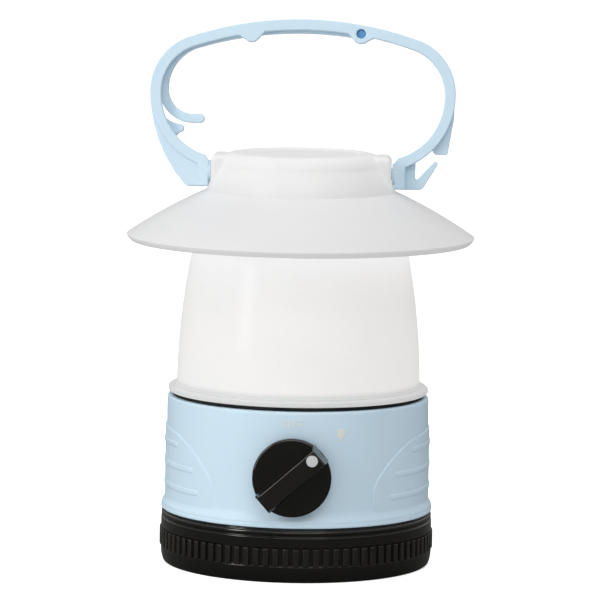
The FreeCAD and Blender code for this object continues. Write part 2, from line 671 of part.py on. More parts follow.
def bail():
    """The bail: a band on its front layer, a left gusset with a catch, a right web with its tab and line hook."""
    band_outline = [
        ("bail_half_inside", "bail_belly", -4.0), (37.0, "bail_top_inside - 6.2", -2.93),
        (-37.0, "bail_top_inside - 6.2", -6.2), ("-bail_half_inside", "bail_belly", -2.93),
        (-33.2, 5.6, -4.0), (-32.2, 5.3), ("-block_inside", 3.6), ("-block_inside", "-block_low"),
        ("-block_outside", "-block_low"), ("-block_outside", 2.3), ("-bail_half", "bail_belly", 4.4),
        (-38.8, "bail_top - 6.6", 3.5), (38.8, "bail_top - 6.6", 6.6), ("bail_half", "bail_belly", 3.5),
        ("block_outside", 2.3, 4.4), ("block_outside", "-block_low"), ("block_inside", "-block_low"),
        ("block_inside", 3.6), (32.2, 5.3), (33.2, 5.6),
    ]
    band = slab("band", band_outline, "-bail_front", 0)
    web = slab("left_web", [
        ("-bail_half + 0.1", "bail_belly"), (-39.2, -4.3, -2.9), (-37.6, "-block_low", -0.2), (-33.0, "-block_low"),
        (-33.0, 3.6), (-49.3, "bail_belly", 4.0),
    ], "-bail_front + web_recess", 0)
    catch = slab("left_catch", [
        (-39.2, -4.3, -1.3), (-37.6, "-block_low", -0.2), (-33.0, "-block_low"), (-33.0, 4.5), (-42.3, 11.6, 1.0),
        (-40.9, 13.0, 0.1), (-40.7, 15.5, -1.1), (-46.9, 18.6, 0.6), (-48.9, 16.4, 0.3),
    ], 0, "bail_rear")
    tab = slab("right_tab", [
        (44.6, 6.9), (48.0, 6.9), (48.7, 7.5, -0.1), (50.6, 19.0), (50.7, 24.0), (48.2, 24.0), (47.0, 16.0),
        (42.6, 9.0),
    ], 0, "bail_rear")
    line_hook = slab("line_hook", [
        (33.0, "-block_low"), (39.0, "-block_low"), (40.8, -4.1, -0.25), (45.3, 3.4), (44.1, 4.2, -0.65),
        (39.1, -1.2), (38.0, -0.8, 0.5), (38.0, 5.6), (36.5, 6.0), (33.0, 4.0),
    ], 0, "bail_rear")
    blocks, bumps = [], []
    for side in (-1, 1):
        way = FreeCAD.Vector(-side, 0, 0)
        low, high = sorted((side * value("block_inside"), side * value("block_outside")))
        blocks.append(box(f"block_{side}", (low, 0, "-block_low"), (high, "bail_rear", 4.4)))
        blocks.append(rod(f"shoulder_{side}", 3.7, 0.7, way, x=f"{side} * block_inside"))
        blocks.append(rod(f"peg_{side}", "peg_radius", 5.2, way, x=f"{side} * block_inside"))
    for across, reach in (("pin_across", 3.3), ("bump_across", 2.7)):
        up = "pin_height" if across == "pin_across" else "pin_height - 0.6"
        bumps.append(rod(f"bump_{across}", reach, "bail_front", TO_VIEWER, x=across, z=up))
        bumps.append(slab(f"flank_{across}", [
            (f"{across} - 4.4", "bail_top_inside - 1"), (f"{across} - 2.4", f"{up} - {reach} * 0.72"),
            (f"{across} + 2.4", f"{up} - {reach} * 0.72"), (f"{across} + 4.4", "bail_top_inside - 1"),
            (across, "bail_top - 1.8"),
        ], "-bail_front", 0))
    pin_hole = rod("pin_hole", "pin_radius + 0.05", 12, TO_VIEWER, x="pin_across", y=6, z="pin_height")
    solid = fuse("bail_fuse", band, web, catch, tab, line_hook, *blocks, *bumps)
    leaning(cut("bail_cut", solid, pin_hole), "handle_bail")


def hook():
    """The hanging hook, folded behind the bail's band, and the pin it turns on."""
    side = "hook_bowl_across - hook_bowl"
    inner_side = "hook_bowl_across - hook_bowl + hook_width"
    lowest = "hook_bowl_height - hook_bowl"
    inner_lowest = "hook_bowl_height - hook_bowl + hook_width - 0.2"
    arm = slab("hook_arm", [
        (-37.6, "bail_top - 7.25", 3.2), (17.5, "bail_top - 2.4", 3.3),
        (17.5, "bail_top - 5.8"), (-35.4, "bail_top - 9.9", -3.0), (inner_side, "hook_bowl_height", -2.7),
        ("hook_bowl_across", inner_lowest, -2.43), (-34.3, inner_lowest), (-34.3, lowest, 1.3),
        ("hook_bowl_across", lowest), (side, "hook_bowl_height", 3.37),
    ], "hook_gap", "bail_rear")
    eye = rod("hook_eye", 3.1, "bail_rear - hook_gap", FreeCAD.Vector(0, 1, 0), x="pin_across", y="hook_gap",
              z="pin_height")
    eye_hole = rod("eye_hole", f"pin_radius + {RUNNING_GAP}", 9, TO_VIEWER, x="pin_across", y=6, z="pin_height")
    leaning(cut("hook_cut", fuse("hook_fuse", arm, eye), eye_hole), "hanging_hook")
    shank = rod("pin_shank", "pin_radius", "bail_rear + hook_gap + 2.6", TO_VIEWER, x="pin_across",
                y="bail_rear + hook_gap", z="pin_height")
    head = rod("pin_head", 2.4, 0.8, FreeCAD.Vector(0, 1, 0), x="pin_across", y="bail_rear + hook_gap",
               z="pin_height")
    leaning(fuse("pin_fuse", shank, head), "hook_pin")


def build():
    """Makes every piece, from the base up."""
    battery_cap()
    body_shell()
    torus("seal_ring", 41.6, 0.7, "shell_top + 0.7", "lens_seal")
    torus("gasket_ring", "skirt_radius + 0.47", 0.42, "flare_low - 0.8", "cap_gasket")
    lens()
    shade()
    top_cap()
    screws("shade_screws", 2.6, 1.8, 1.2, 5.0, "lens_top + 2", 20, SCREW_TURNS)
    cells()
    battery_case()
    screws("case_screws", 2.0, 0.8, 0.9, 5.0, "spigot_top + plate_thick", 34.6, SCREW_TURNS)
    lamp()
    screws("board_screws", 1.8, 1.0, 0.9, 3.5, "board_low + board_thick", 17, (0, 180))
    switch()
    knob()
    contact_disc()
    screws("disc_screw", 3.2, 1.4, 1.4, 3.9, "disc_high + 0.3", 0, (0,))
    bail()
    hook()


def checked(made):
    """Whether a sub-part came out whole."""
    return not made.Shape.isNull() and made.Shape.isValid() and made.Shape.Volume > 0


build()
doc.recompute()
failed = [made.Label for made in doc.Objects if "Invalid" in made.State or "Error" in made.State]
broken = [made.Label for made in pieces if not checked(made)]
if failed or broken:
    raise RuntimeError(f"failed objects: {failed}, broken pieces: {broken}")
os.makedirs("parts", exist_ok=True)
for made in pieces:
    made.Shape.exportStep(f"parts/{made.Label}.step")
    bounds = made.Shape.BoundBox
    print(f"{made.Label}: {len(made.Shape.Solids)} solid(s), {made.Shape.Volume:.0f} mm3,"
          f" x {bounds.XMin:.1f}..{bounds.XMax:.1f}, y {bounds.YMin:.1f}..{bounds.YMax:.1f},"
          f" z {bounds.ZMin:.1f}..{bounds.ZMax:.1f}")
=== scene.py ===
# %% [markdown]
# # A camping lantern
# The lantern stands on a ribbed black battery cup. Above it sit a pale blue housing with a knob, a
# frosted globe, a translucent hat, and a blue bail that carries a folding hook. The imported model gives
# every place and every joint, so this lesson only adds shape detail, finishes, light and a camera.
# Lengths below are in millimetres, and MM turns them into Blender's metres.

# %% Load the frame
import math
import bmesh
import bpy
from mathutils import Matrix, Vector


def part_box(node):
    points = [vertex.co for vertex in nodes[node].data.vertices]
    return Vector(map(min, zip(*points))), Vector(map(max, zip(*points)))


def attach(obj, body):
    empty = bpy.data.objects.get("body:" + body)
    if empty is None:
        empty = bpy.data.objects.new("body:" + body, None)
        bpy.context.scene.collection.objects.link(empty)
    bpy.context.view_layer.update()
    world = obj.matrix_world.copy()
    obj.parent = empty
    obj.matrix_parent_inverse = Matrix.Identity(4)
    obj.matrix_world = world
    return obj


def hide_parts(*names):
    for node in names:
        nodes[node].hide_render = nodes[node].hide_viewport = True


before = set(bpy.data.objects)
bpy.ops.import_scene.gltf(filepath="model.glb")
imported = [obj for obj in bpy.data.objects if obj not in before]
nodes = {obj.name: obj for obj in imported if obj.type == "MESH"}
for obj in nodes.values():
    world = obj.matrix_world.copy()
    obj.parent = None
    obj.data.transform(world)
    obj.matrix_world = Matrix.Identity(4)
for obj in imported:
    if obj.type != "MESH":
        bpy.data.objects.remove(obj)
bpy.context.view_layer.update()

MM = 0.001

# %% [markdown]
# A product picture is taken with a long lens from a little above, so the globe's sides look straight and
# the brim is a thin ellipse. The camera is made first, because everything else is judged through it.

# %% Camera
CAMERA_PLACE = Vector((0.0490, -1.3991, 0.2487))
CAMERA_YAW, CAMERA_PITCH, CAMERA_ROLL = math.radians(2.0), 0.1141, 0.0156
LENS_LENGTH = 252.2

camera_data = bpy.data.cameras.new("camera")
camera_data.lens, camera_data.sensor_width = LENS_LENGTH, 36.0
camera_data.clip_start, camera_data.clip_end = 0.05, 50.0
camera = bpy.data.objects.new("camera", camera_data)
bpy.context.scene.collection.objects.link(camera)
camera.matrix_world = (
    Matrix.Translation(CAMERA_PLACE)
    @ Matrix.Rotation(CAMERA_YAW, 4, "Z")
    @ Matrix.Rotation(math.pi / 2 - CAMERA_PITCH, 4, "X")
    @ Matrix.Rotation(CAMERA_ROLL, 4, "Z")
)
bpy.context.scene.camera = camera
bpy.context.scene.view_settings.view_transform = "Standard"
print("camera at", [round(c, 3) for c in CAMERA_PLACE], "with a", LENS_LENGTH, "mm lens")

# %% [markdown]
# Most of the lantern is turned on one axis. A turned piece starts as a wire: a few corners of its half
# section, each given as (radius, height, rounding). Bevelling a wire's corners fillets them, and a spin
# makes the ring. That is quicker to change than a finished ring, and every corner keeps a true radius.

# %% Helpers for wires and turned pieces
FINE_RING, MIDDLE_RING, SMALL_RING = 192, 128, 48
CORNER_STEPS = 6
SHARP = math.radians(32)
ARC_STEP = math.radians(3)
SAME_PLACE, ON_FACE = 1e-8, 1e-6  # metres between points that count as one, and off a face that holds an edge


def flat(across, up):
    """The usual drawing plane: across along X and up along Z."""
    return across, 0, up


def corners_of(geometry):
    """The vertices among what a bmesh operator returned."""
    return [item for item in geometry if isinstance(item, bmesh.types.BMVert)]


def middle(edge):
    """The point halfway along an edge."""
    return (edge.verts[0].co + edge.verts[1].co) / 2


def arc(made, start, end, bow, normal):
    """Sweeps the start corner along the arc that rises bow over its chord, and welds it to the end."""
    chord = end.co - start.co
    half_turn = 2 * math.atan(2 * abs(bow) * MM / chord.length)
    side = math.copysign(1, bow)
    drop = chord.length / 2 / math.tan(half_turn)
    centre = (start.co + end.co) / 2 - normal.cross(chord).normalized() * side * drop
    steps = max(6, round(half_turn * 2 / ARC_STEP))
    last = bmesh.ops.spin(made, geom=[start], cent=centre, axis=normal, dvec=(0, 0, 0), steps=steps,
                          angle=-2 * side * half_turn, use_merge=False, use_duplicate=False)["geom_last"]
    bmesh.ops.pointmerge(made, verts=[*corners_of(last), end], merge_co=end.co)


def wire(points, place=flat):
    """A new bmesh with a closed wire through corners (across, up), (across, up, fillet, steps) or bowed ones.

    A bowed corner, from flowing(), has an arc arriving at it in place of a straight edge.
    """
    made = bmesh.new()
    origin, right, above = (Vector(place(*spot)) for spot in ((0, 0), (1, 0), (0, 1)))
    normal = (right - origin).cross(above - origin)
    corners = [made.verts.new(Vector(place(p[0], p[1])) * MM) for p in points]
    for index, point in enumerate(points):
        start, end = corners[index - 1], corners[index]
        if len(point) == 5:
            arc(made, start, end, point[4], normal)
            spot = Vector(place(point[0], point[1])) * MM
            corners[index] = next(v for v in made.verts if (v.co - spot).length < SAME_PLACE)
        else:
            made.edges.new((start, end))
    for corner, point in zip(corners, points):
        if len(point) in (3, 4) and point[2]:
            steps = point[3] if len(point) > 3 else CORNER_STEPS
            bmesh.ops.bevel(made, geom=[corner], offset=point[2] * MM, offset_type="OFFSET", segments=steps,
                            profile=0.5, affect="VERTICES", material=-1)
    return made


def flowing(points):
    """Reads a third number as a bow: the height over its chord of the arc that arrives at that corner.

    A bow over 0 swells to the left of the direction of travel.
    """
    return [(across, up, 0, 0, bow[0]) if bow else (across, up) for across, up, *bow in points]


def finished(made, name, sharp=SHARP):
    """Closes a bmesh into a smooth-shaded object whose edges over the sharp angle stay crisp."""
    bmesh.ops.remove_doubles(made, verts=made.verts[:], dist=0.002 * MM)
    bmesh.ops.recalc_face_normals(made, faces=made.faces[:])
    mesh = bpy.data.meshes.new(name)
    made.to_mesh(mesh)
    made.free()
    mesh.shade_smooth()
    mesh.set_sharp_from_angle(angle=sharp)
    thing = bpy.data.objects.new(name, mesh)
    bpy.context.scene.collection.objects.link(thing)
    even = thing.modifiers.new("even_normals", "WEIGHTED_NORMAL")
    even.keep_sharp = True
    print(f"{name}: {len(mesh.polygons)} faces, size", [round(side / MM, 1) for side in thing.dimensions])
    return thing


def spun(made, steps=FINE_RING):
    """Spins all of a wire once round the upright axis and merges it where it meets itself."""
    bmesh.ops.spin(made, geom=made.verts[:] + made.edges[:], cent=(0, 0, 0), axis=(0, 0, 1), dvec=(0, 0, 0),
                   angle=2 * math.pi, steps=steps, use_merge=True, use_duplicate=False)
    return made


def turned(name, points, steps=FINE_RING):
    """A finished ring or cup from its half section."""
    return finished(spun(wire(points), steps), name)


def joined(parts, name):
    """Several closed shells as the one object they are on the real thing."""
    whole = bmesh.new()
    for part in parts:
        whole.from_mesh(part.data)
        bpy.data.objects.remove(part)
    return finished(whole, name)


def set_in_place(thing, matrix):
    """Puts a piece where it belongs by moving its mesh, so that its object stays at the origin."""
    thing.data.transform(matrix)
    thing.data.update()
    return thing


# %% [markdown]
# The battery cup has a rounded foot, a band of small upright grips with rounded ends, a smooth band and a
# rim with a fine groove. The cup is turned, and one grip is made as a rounded bar and repeated round the
# ring: 86 of them sit at the same pitch as on the frame's model.

# %% Battery cup
CAP_RADIUS, GRIP_RADIUS, GRIP_ROOT = 45.5, 46.0, 45.15
GRIP_LOW, GRIP_HIGH, GRIP_COUNT = 5.6, 11.4, 86

cup = turned("battery_cup", [
    (0, 0.8), (35.5, 0.8, 0.25), (35.5, 0, 0.25), (CAP_RADIUS - 0.9, 0, 0.7), (CAP_RADIUS, 2.6, 1.6, 8),
    (CAP_RADIUS, GRIP_LOW - 0.2, 0.15), (GRIP_ROOT, GRIP_LOW, 0.1), (GRIP_ROOT, GRIP_HIGH, 0.1),
    (CAP_RADIUS, GRIP_HIGH + 0.4, 0.25), (CAP_RADIUS, 15.0, 0.15), (CAP_RADIUS - 0.45, 15.3, 0.1),
    (CAP_RADIUS - 0.45, 15.75, 0.1), (CAP_RADIUS - 0.1, 16.0, 0.15), (CAP_RADIUS - 0.1, 16.9, 0.3),
    (CAP_RADIUS - 0.6, 17.3, 0.12), (CAP_RADIUS - 0.6, 17.9, 0.2), (43.6, 17.9, 0.15),
    (43.6, 2.0, 0.6), (0, 2.0),
], 3 * GRIP_COUNT)
grips = bmesh.new()
bmesh.ops.create_cube(grips, size=1.0)
bmesh.ops.scale(grips, vec=Vector((1.6, 1.9, GRIP_HIGH - GRIP_LOW)) * MM, verts=grips.verts[:])
outer = [e for e in grips.edges if all(v.co.x > 0 for v in e.verts)]
bmesh.ops.bevel(grips, geom=outer, offset=0.32 * MM, offset_type="OFFSET", segments=3, profile=0.5,
                affect="EDGES", material=-1)
bmesh.ops.translate(grips, vec=Vector((GRIP_RADIUS - 0.8, 0, (GRIP_LOW + GRIP_HIGH) / 2)) * MM,
                    verts=grips.verts[:])
bmesh.ops.spin(grips, geom=grips.faces[:] + grips.edges[:] + grips.verts[:], cent=(0, 0, 0), axis=(0, 0, 1),
               dvec=(0, 0, 0), angle=2 * math.pi * (GRIP_COUNT - 1) / GRIP_COUNT, steps=GRIP_COUNT - 1,
               use_merge=False, use_duplicate=True)
cup = joined([cup, finished(grips, "grip_ring")], "battery_cup")
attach(cup, "battery_cap")
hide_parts("battery_cap")

# %% [markdown]
# The housing is a turned wall with a threaded skirt inside the cup and a flared foot that rests above its
# rim. It ends in a neck that holds the globe. The bore and the neck's inside stay hidden, but they are
# there, so the cup can drop away and still show a real skirt.

# %% Blue housing
SHELL_RIM, SHELL_TOP, WALL_LOW, LENS_TOP, COLLAR_TOP = 43.75, 56.4, 22.3, 125.3, 137.8
wall = turned("wall", [
    (40.9, 8.5, 0.2), (42.4, 8.5, 0.3), (42.4, 18.2, 0.1), (45.3, 18.2, 0.2), (45.55, 18.5, 0.12),
    (45.55, 19.2, 0.15), (45.35, 19.45, 0.12), (45.35, 20.3, 0.3), (44.15, WALL_LOW, 1.3, 8),
    (44.0, 30.0), (SHELL_RIM + 0.1, 55.0, 0.3), (SHELL_RIM, SHELL_TOP, 0.75, 8), (38.4, SHELL_TOP, 0.2),
    (38.4, 60.5, 0.3), (36.6, 60.5, 0.3), (36.6, 54.6, 0.2), (42.0, 54.6, 0.4),
    (42.0, 21.0, 0.3), (40.9, 19.0, 0.3),
])

# %% [markdown]
# On each side a raised pad with an arched outline gives the fingers grip, and three low ribs cross it.
# The pad is drawn flat, thickened, softened, sliced into narrow strips, and then wrapped onto the wall by
# moving each point out to its own radius. Drawing it flat keeps the arch true from the side.

# %% Grip pads
PAD_RADIUS, RIB_RADIUS, PAD_HALF = 44.35, 44.62, 35.3
RIB_HALF_TALL, RIB_ROUND = 1.3, 1.2
STRIP = 1.4


def wrapped(made, side):
    """Bends a sheet drawn in the (y, z) plane onto the wall; x holds each point's radius."""
    for point in made.verts:
        point.co.x = side * math.sqrt(max(point.co.x ** 2 - point.co.y ** 2, 0))
    return made


def raised_sheet(outline, low, high, side, soft=0.25):
    """A flat outline in (y, z), thickened from low to high, cut into strips and wrapped round the wall."""
    made = wire(outline, place=lambda across, up: (low, across, up))
    bmesh.ops.contextual_create(made, geom=made.edges[:])
    made.faces.ensure_lookup_table()
    top = bmesh.ops.extrude_face_region(made, geom=made.faces[:])["geom"]
    top_points = corners_of(top)
    bmesh.ops.translate(made, vec=((high - low) * MM, 0, 0), verts=top_points)
    rim = [e for e in made.edges if all(v in top_points for v in e.verts)]
    bmesh.ops.bevel(made, geom=rim, offset=soft * MM, offset_type="OFFSET", segments=3, profile=0.5,
                    affect="EDGES", material=-1)
    ends = [v.co.y for v in made.verts]
    cut = min(ends) + STRIP * MM
    while cut < max(ends):
        bmesh.ops.bisect_plane(made, geom=made.verts[:] + made.edges[:] + made.faces[:], plane_co=(0, cut, 0),
                               plane_no=(0, 1, 0), dist=1e-7)
        cut += STRIP * MM
    return wrapped(made, side)


pads = []
for side in (-1, 1):
    arch = flowing([
        (-PAD_HALF, WALL_LOW - 0.2), (PAD_HALF, WALL_LOW - 0.2), (PAD_HALF, 30.0), (20.0, 45.2, -3.0),
        (-20.0, 45.2, -1.3), (-PAD_HALF, 30.0, -3.0),
    ])
    pads.append(finished(raised_sheet(arch, PAD_RADIUS - 0.9, PAD_RADIUS, side), f"pad_{side}"))
    for height, half in ((26.9, 31.6), (34.2, 29.6), (41.5, 21.6)):
        low, high = height - RIB_HALF_TALL, height + RIB_HALF_TALL
        corners = ((-half, low), (half, low), (half, high), (-half, high))
        rib = raised_sheet([(*corner, RIB_ROUND) for corner in corners], PAD_RADIUS - 0.55, RIB_RADIUS, side, 0.85)
        pads.append(finished(rib, f"rib_{side}_{height}"))
housing = joined([wall, *pads], "blue_housing")
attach(housing, "lantern")
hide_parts("body_shell")

# %% [markdown]
# A thin black seal shows between the housing and the globe's flange. It is a round section spun once.

# %% Globe seal
def ring_of_round_section(name, radius, section, height):
    """A closed ring, such as a seal, from a circle spun at its radius."""
    made = bmesh.new()
    bmesh.ops.create_circle(made, cap_ends=False, segments=20, radius=section * MM,
                            matrix=Matrix.Translation(Vector((radius, 0, height)) * MM)
                            @ Matrix.Rotation(math.pi / 2, 4, "X"))
    return finished(spun(made), name)


seal = ring_of_round_section("globe_seal", 41.6, 0.7, SHELL_TOP + 0.7)
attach(seal, "lantern")
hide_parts("lens_seal")

# %% [markdown]
# The globe is a blown, frosted cup: a flat flange, a wall that leans in a little and bellies between foot
# and shoulder, and a neck that closes under the hat. Its long curves are true arcs, each given by its bow
# over the chord, so a flowing outline needs very few points.

# %% Frosted globe
globe = turned("frosted_globe", flowing([
    (38.9, 57.8), (43.3, 57.8), (43.6, 58.2), (43.6, 59.1), (43.1, 59.6, 0.1), (41.4, 59.7), (40.8, 60.4, -0.25),
    (36.9, 101.0, -0.85), (28.6, 122.0, -1.12), (28.6, 124.9), (28.2, LENS_TOP), (0, LENS_TOP), (0, 123.4),
    (26.7, 123.4), (26.7, 121.4), (35.0, 100.8, 1.05), (38.9, 60.4, 0.85),
]))
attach(globe, "lantern")
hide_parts("lens")

# %% [markdown]
# The hat is one moulding: a wide brim with a thin edge, a collar that swells out of it, and an open crown
# closed by a disc. Two ears with flat faces take the bail's pegs. The ears are blocks with every outer
# edge well rounded, sunk into the collar, as the moulding's own blends are.

# %% Translucent hat
hat_body = turned("hat_body", flowing([
    (20.9, COLLAR_TOP), (22.4, COLLAR_TOP), (27.6, 133.4, 1.35), (31.6, 125.2, 0.25), (58.0, 110.4, 0.7),
    (58.1, 109.8, 0.15), (56.6, 108.15, 0.1), (56.1, 108.25, 0.08), (32.6, 121.6, -0.7), (29.2, 121.6),
    (29.2, LENS_TOP), (6, LENS_TOP), (6, LENS_TOP + 2), (27.2, LENS_TOP + 2), (25.4, 133.0, -0.2),
    (20.0, 135.6, -1.0), (19.0, 135.6), (19.0, 136.3), (20.9, 136.3),
]))


EAR_HALF, EAR_LOW, EAR_INSIDE, EAR_OUTSIDE, EAR_TOP, EAR_SOFT = 9, 127.0, 21.0, 29.95, 137.2, 1.6
CLEAR = 0.2  # how far an edge lies above or outside the sunk faces before it is softened


def ear(side):
    """One ear: a block whose side profile is an outline in (x, z), drawn out along Y and rounded."""
    outline = [
        (EAR_INSIDE, EAR_LOW), (EAR_OUTSIDE, EAR_LOW), (EAR_OUTSIDE, EAR_TOP, 2.0, 8), (24.5, EAR_TOP, 2.0),
        (EAR_INSIDE, 136.4),
    ]
    made = wire([(side * p[0], *p[1:]) for p in outline])
    bmesh.ops.contextual_create(made, geom=made.edges[:])
    bmesh.ops.translate(made, vec=(0, -EAR_HALF * MM, 0), verts=made.verts[:])
    end = bmesh.ops.extrude_face_region(made, geom=made.faces[:])["geom"]
    bmesh.ops.translate(made, vec=(0, 2 * EAR_HALF * MM, 0), verts=corners_of(end))
    rims = [e for e in made.edges if abs(abs(middle(e).y) - EAR_HALF * MM) < ON_FACE
            and middle(e).z > (EAR_LOW + CLEAR) * MM and abs(middle(e).x) > (EAR_INSIDE + CLEAR) * MM]
    bmesh.ops.bevel(made, geom=rims, offset=EAR_SOFT * MM, offset_type="OFFSET", segments=6, profile=0.5,
                    affect="EDGES", material=-1, clamp_overlap=True)
    return finished(made, f"ear_{side}")


hat = joined([hat_body, ear(-1), ear(1)], "translucent_hat")
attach(hat, "lantern")
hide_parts("shade")

# %% [markdown]
# A thin disc closes the collar. Its edge is level with the collar's rim, with a fine gap round it, and
# its middle lies a little lower.

# %% Crown disc
crown = turned("crown_disc", [
    (0, 136.3), (20.7, 136.3, 0.15), (20.7, 137.4, 0.15), (20.3, COLLAR_TOP, 0.2), (19.0, 137.45, 0.4), (0, 137.4),
], MIDDLE_RING)
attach(crown, "lantern")
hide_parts("top_cap")

# %% [markdown]
# The knob is a shallow disc with a bar across it. The bar's sides draw in towards its top, and its rims
# are rounded so that they catch the light. It is modelled facing up with its pointer along +Y, then swung
# to face the viewer and turned to the lit position, the same way its shaft is placed on the frame.

# %% Knob
KNOB_BACK, SWITCH_HEIGHT, KNOB_ANGLE = 45.0, 35.25, math.radians(48.5)
knob_place = (
    Matrix.Translation(Vector((0, -KNOB_BACK, SWITCH_HEIGHT)) * MM)
    @ Matrix.Rotation(-KNOB_ANGLE, 4, Vector((0, -1, 0)))
    @ Matrix.Rotation(math.pi / 2, 4, "X")
)
knob_disc = turned("knob_disc", [
    (7.0, 0, 0.1), (12.85, 0, 0.2), (13.0, 3.0, 0.8, 8), (0, 3.2), (0, 1.6), (7.0, 1.6),
], MIDDLE_RING)
BAR_HALF, BAR_DRAFT, BAR_FOOT, BAR_SHOULDER = 3.65, 0.83, 1.0, 7
bar_side = wire([
    (-12.6, BAR_FOOT), (-12.6, 7.4, 0.6), (-11.2, 9.6, 0.8, 8), (12.1, 9.85, 0.6, 8), (12.8, 2.6, 0.5),
    (12.8, BAR_FOOT),
], place=lambda across, up: (-BAR_HALF, across, up))
bmesh.ops.contextual_create(bar_side, geom=bar_side.edges[:])
far = bmesh.ops.extrude_face_region(bar_side, geom=bar_side.faces[:])["geom"]
bmesh.ops.translate(bar_side, vec=(2 * BAR_HALF * MM, 0, 0), verts=corners_of(far))
bar_rims = [e for e in bar_side.edges if abs(abs(middle(e).x) - BAR_HALF * MM) < ON_FACE
            and middle(e).z > (BAR_FOOT + CLEAR) * MM]
bmesh.ops.bevel(bar_side, geom=bar_rims, offset=0.55 * MM, offset_type="OFFSET", segments=4, profile=0.5,
                affect="EDGES", material=-1)
bmesh.ops.scale(bar_side, vec=(BAR_DRAFT, 1, 1),
                verts=[v for v in bar_side.verts if v.co.z > BAR_SHOULDER * MM])
knob = joined([knob_disc, finished(bar_side, "knob_bar")], "turn_knob")
set_in_place(knob, knob_place)
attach(knob, "knob")
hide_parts("knob")

# %% [markdown]
# A small pale dot near the bar's end, mostly sunk into its top, shows which way the knob points.

# %% Pointer dot
DOT_RADIUS, DOT_PLACE = 1.9, Vector((-0.6, 9.6, 9.42))
dot = turned("pointer_dot", [(0, 0), (DOT_RADIUS, 0, 0.05), (DOT_RADIUS, 0.5, 0.12), (0, 0.56)], SMALL_RING)
set_in_place(dot, knob_place @ Matrix.Translation(DOT_PLACE * MM))
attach(dot, "knob")
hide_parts("knob_dot")

# %% [markdown]
# The bail is a flat moulding in two layers. The front layer is the band that sweeps over the hat, with a
# webbed corner at the left. The rear layer carries the catch for the hook, a tab, a small line hook and
# the blocks that hold the pegs. Every layer is an outline filled, thickened and softened all round, so
# one helper makes them all.

# %% Helper for flat mouldings
LEAN, PIVOT = math.radians(7.0), 131.1
bail_place = Matrix.Translation((0, 0, PIVOT * MM)) @ Matrix.Rotation(-LEAN, 4, "X")


def slab(name, points, front, rear, soft=0.4, hole=None):
    """A flat piece with (across, up, bow) corners, from depth front to depth rear, softened at both faces."""
    made = wire(flowing(points), place=lambda across, up: (across, front, up))
    if hole:
        across, up, radius = hole
        place = Matrix.Translation(Vector((across, front, up)) * MM) @ Matrix.Rotation(math.pi / 2, 4, "X")
        bmesh.ops.create_circle(made, cap_ends=False, segments=32, radius=radius * MM, matrix=place)
        bmesh.ops.triangle_fill(made, use_beauty=True, use_dissolve=True, edges=made.edges[:], normal=(0, 1, 0))
    else:
        bmesh.ops.contextual_create(made, geom=made.edges[:])
    front_points = set(made.verts)
    end = bmesh.ops.extrude_face_region(made, geom=made.faces[:])["geom"]
    rear_points = set(corners_of(end))
    bmesh.ops.translate(made, vec=(0, (rear - front) * MM, 0), verts=list(rear_points))
    bmesh.ops.recalc_face_normals(made, faces=made.faces[:])
    rims = [edge for edge in made.edges if edge.calc_face_angle(0) > math.radians(60)
            and (set(edge.verts) <= front_points or set(edge.verts) <= rear_points)]
    bmesh.ops.bevel(made, geom=rims, offset=soft * MM, offset_type="OFFSET", segments=3, profile=0.5,
                    affect="EDGES", material=-1, clamp_overlap=True)
    return finished(made, name)


def stub(name, radius, start, end, soft=0.2):
    """A short round bar between two points, with softened ends, made as a turned piece and swung into line."""
    line = Vector(end) - Vector(start)
    made = turned(name, [(0, 0), (radius, 0, soft), (radius, line.length, soft), (0, line.length)],
                  SMALL_RING)
    swing = Vector((0, 0, 1)).rotation_difference(line).to_matrix().to_4x4()
    return set_in_place(made, Matrix.Translation(Vector(start) * MM) @ swing)


# %% [markdown]
# The bail's outlines are drawn with the pivot as origin. Corners without a bow are sharp, the others end
# an arc. Two small bumps hang below the band, and the right one gives the pin's hole its wall.

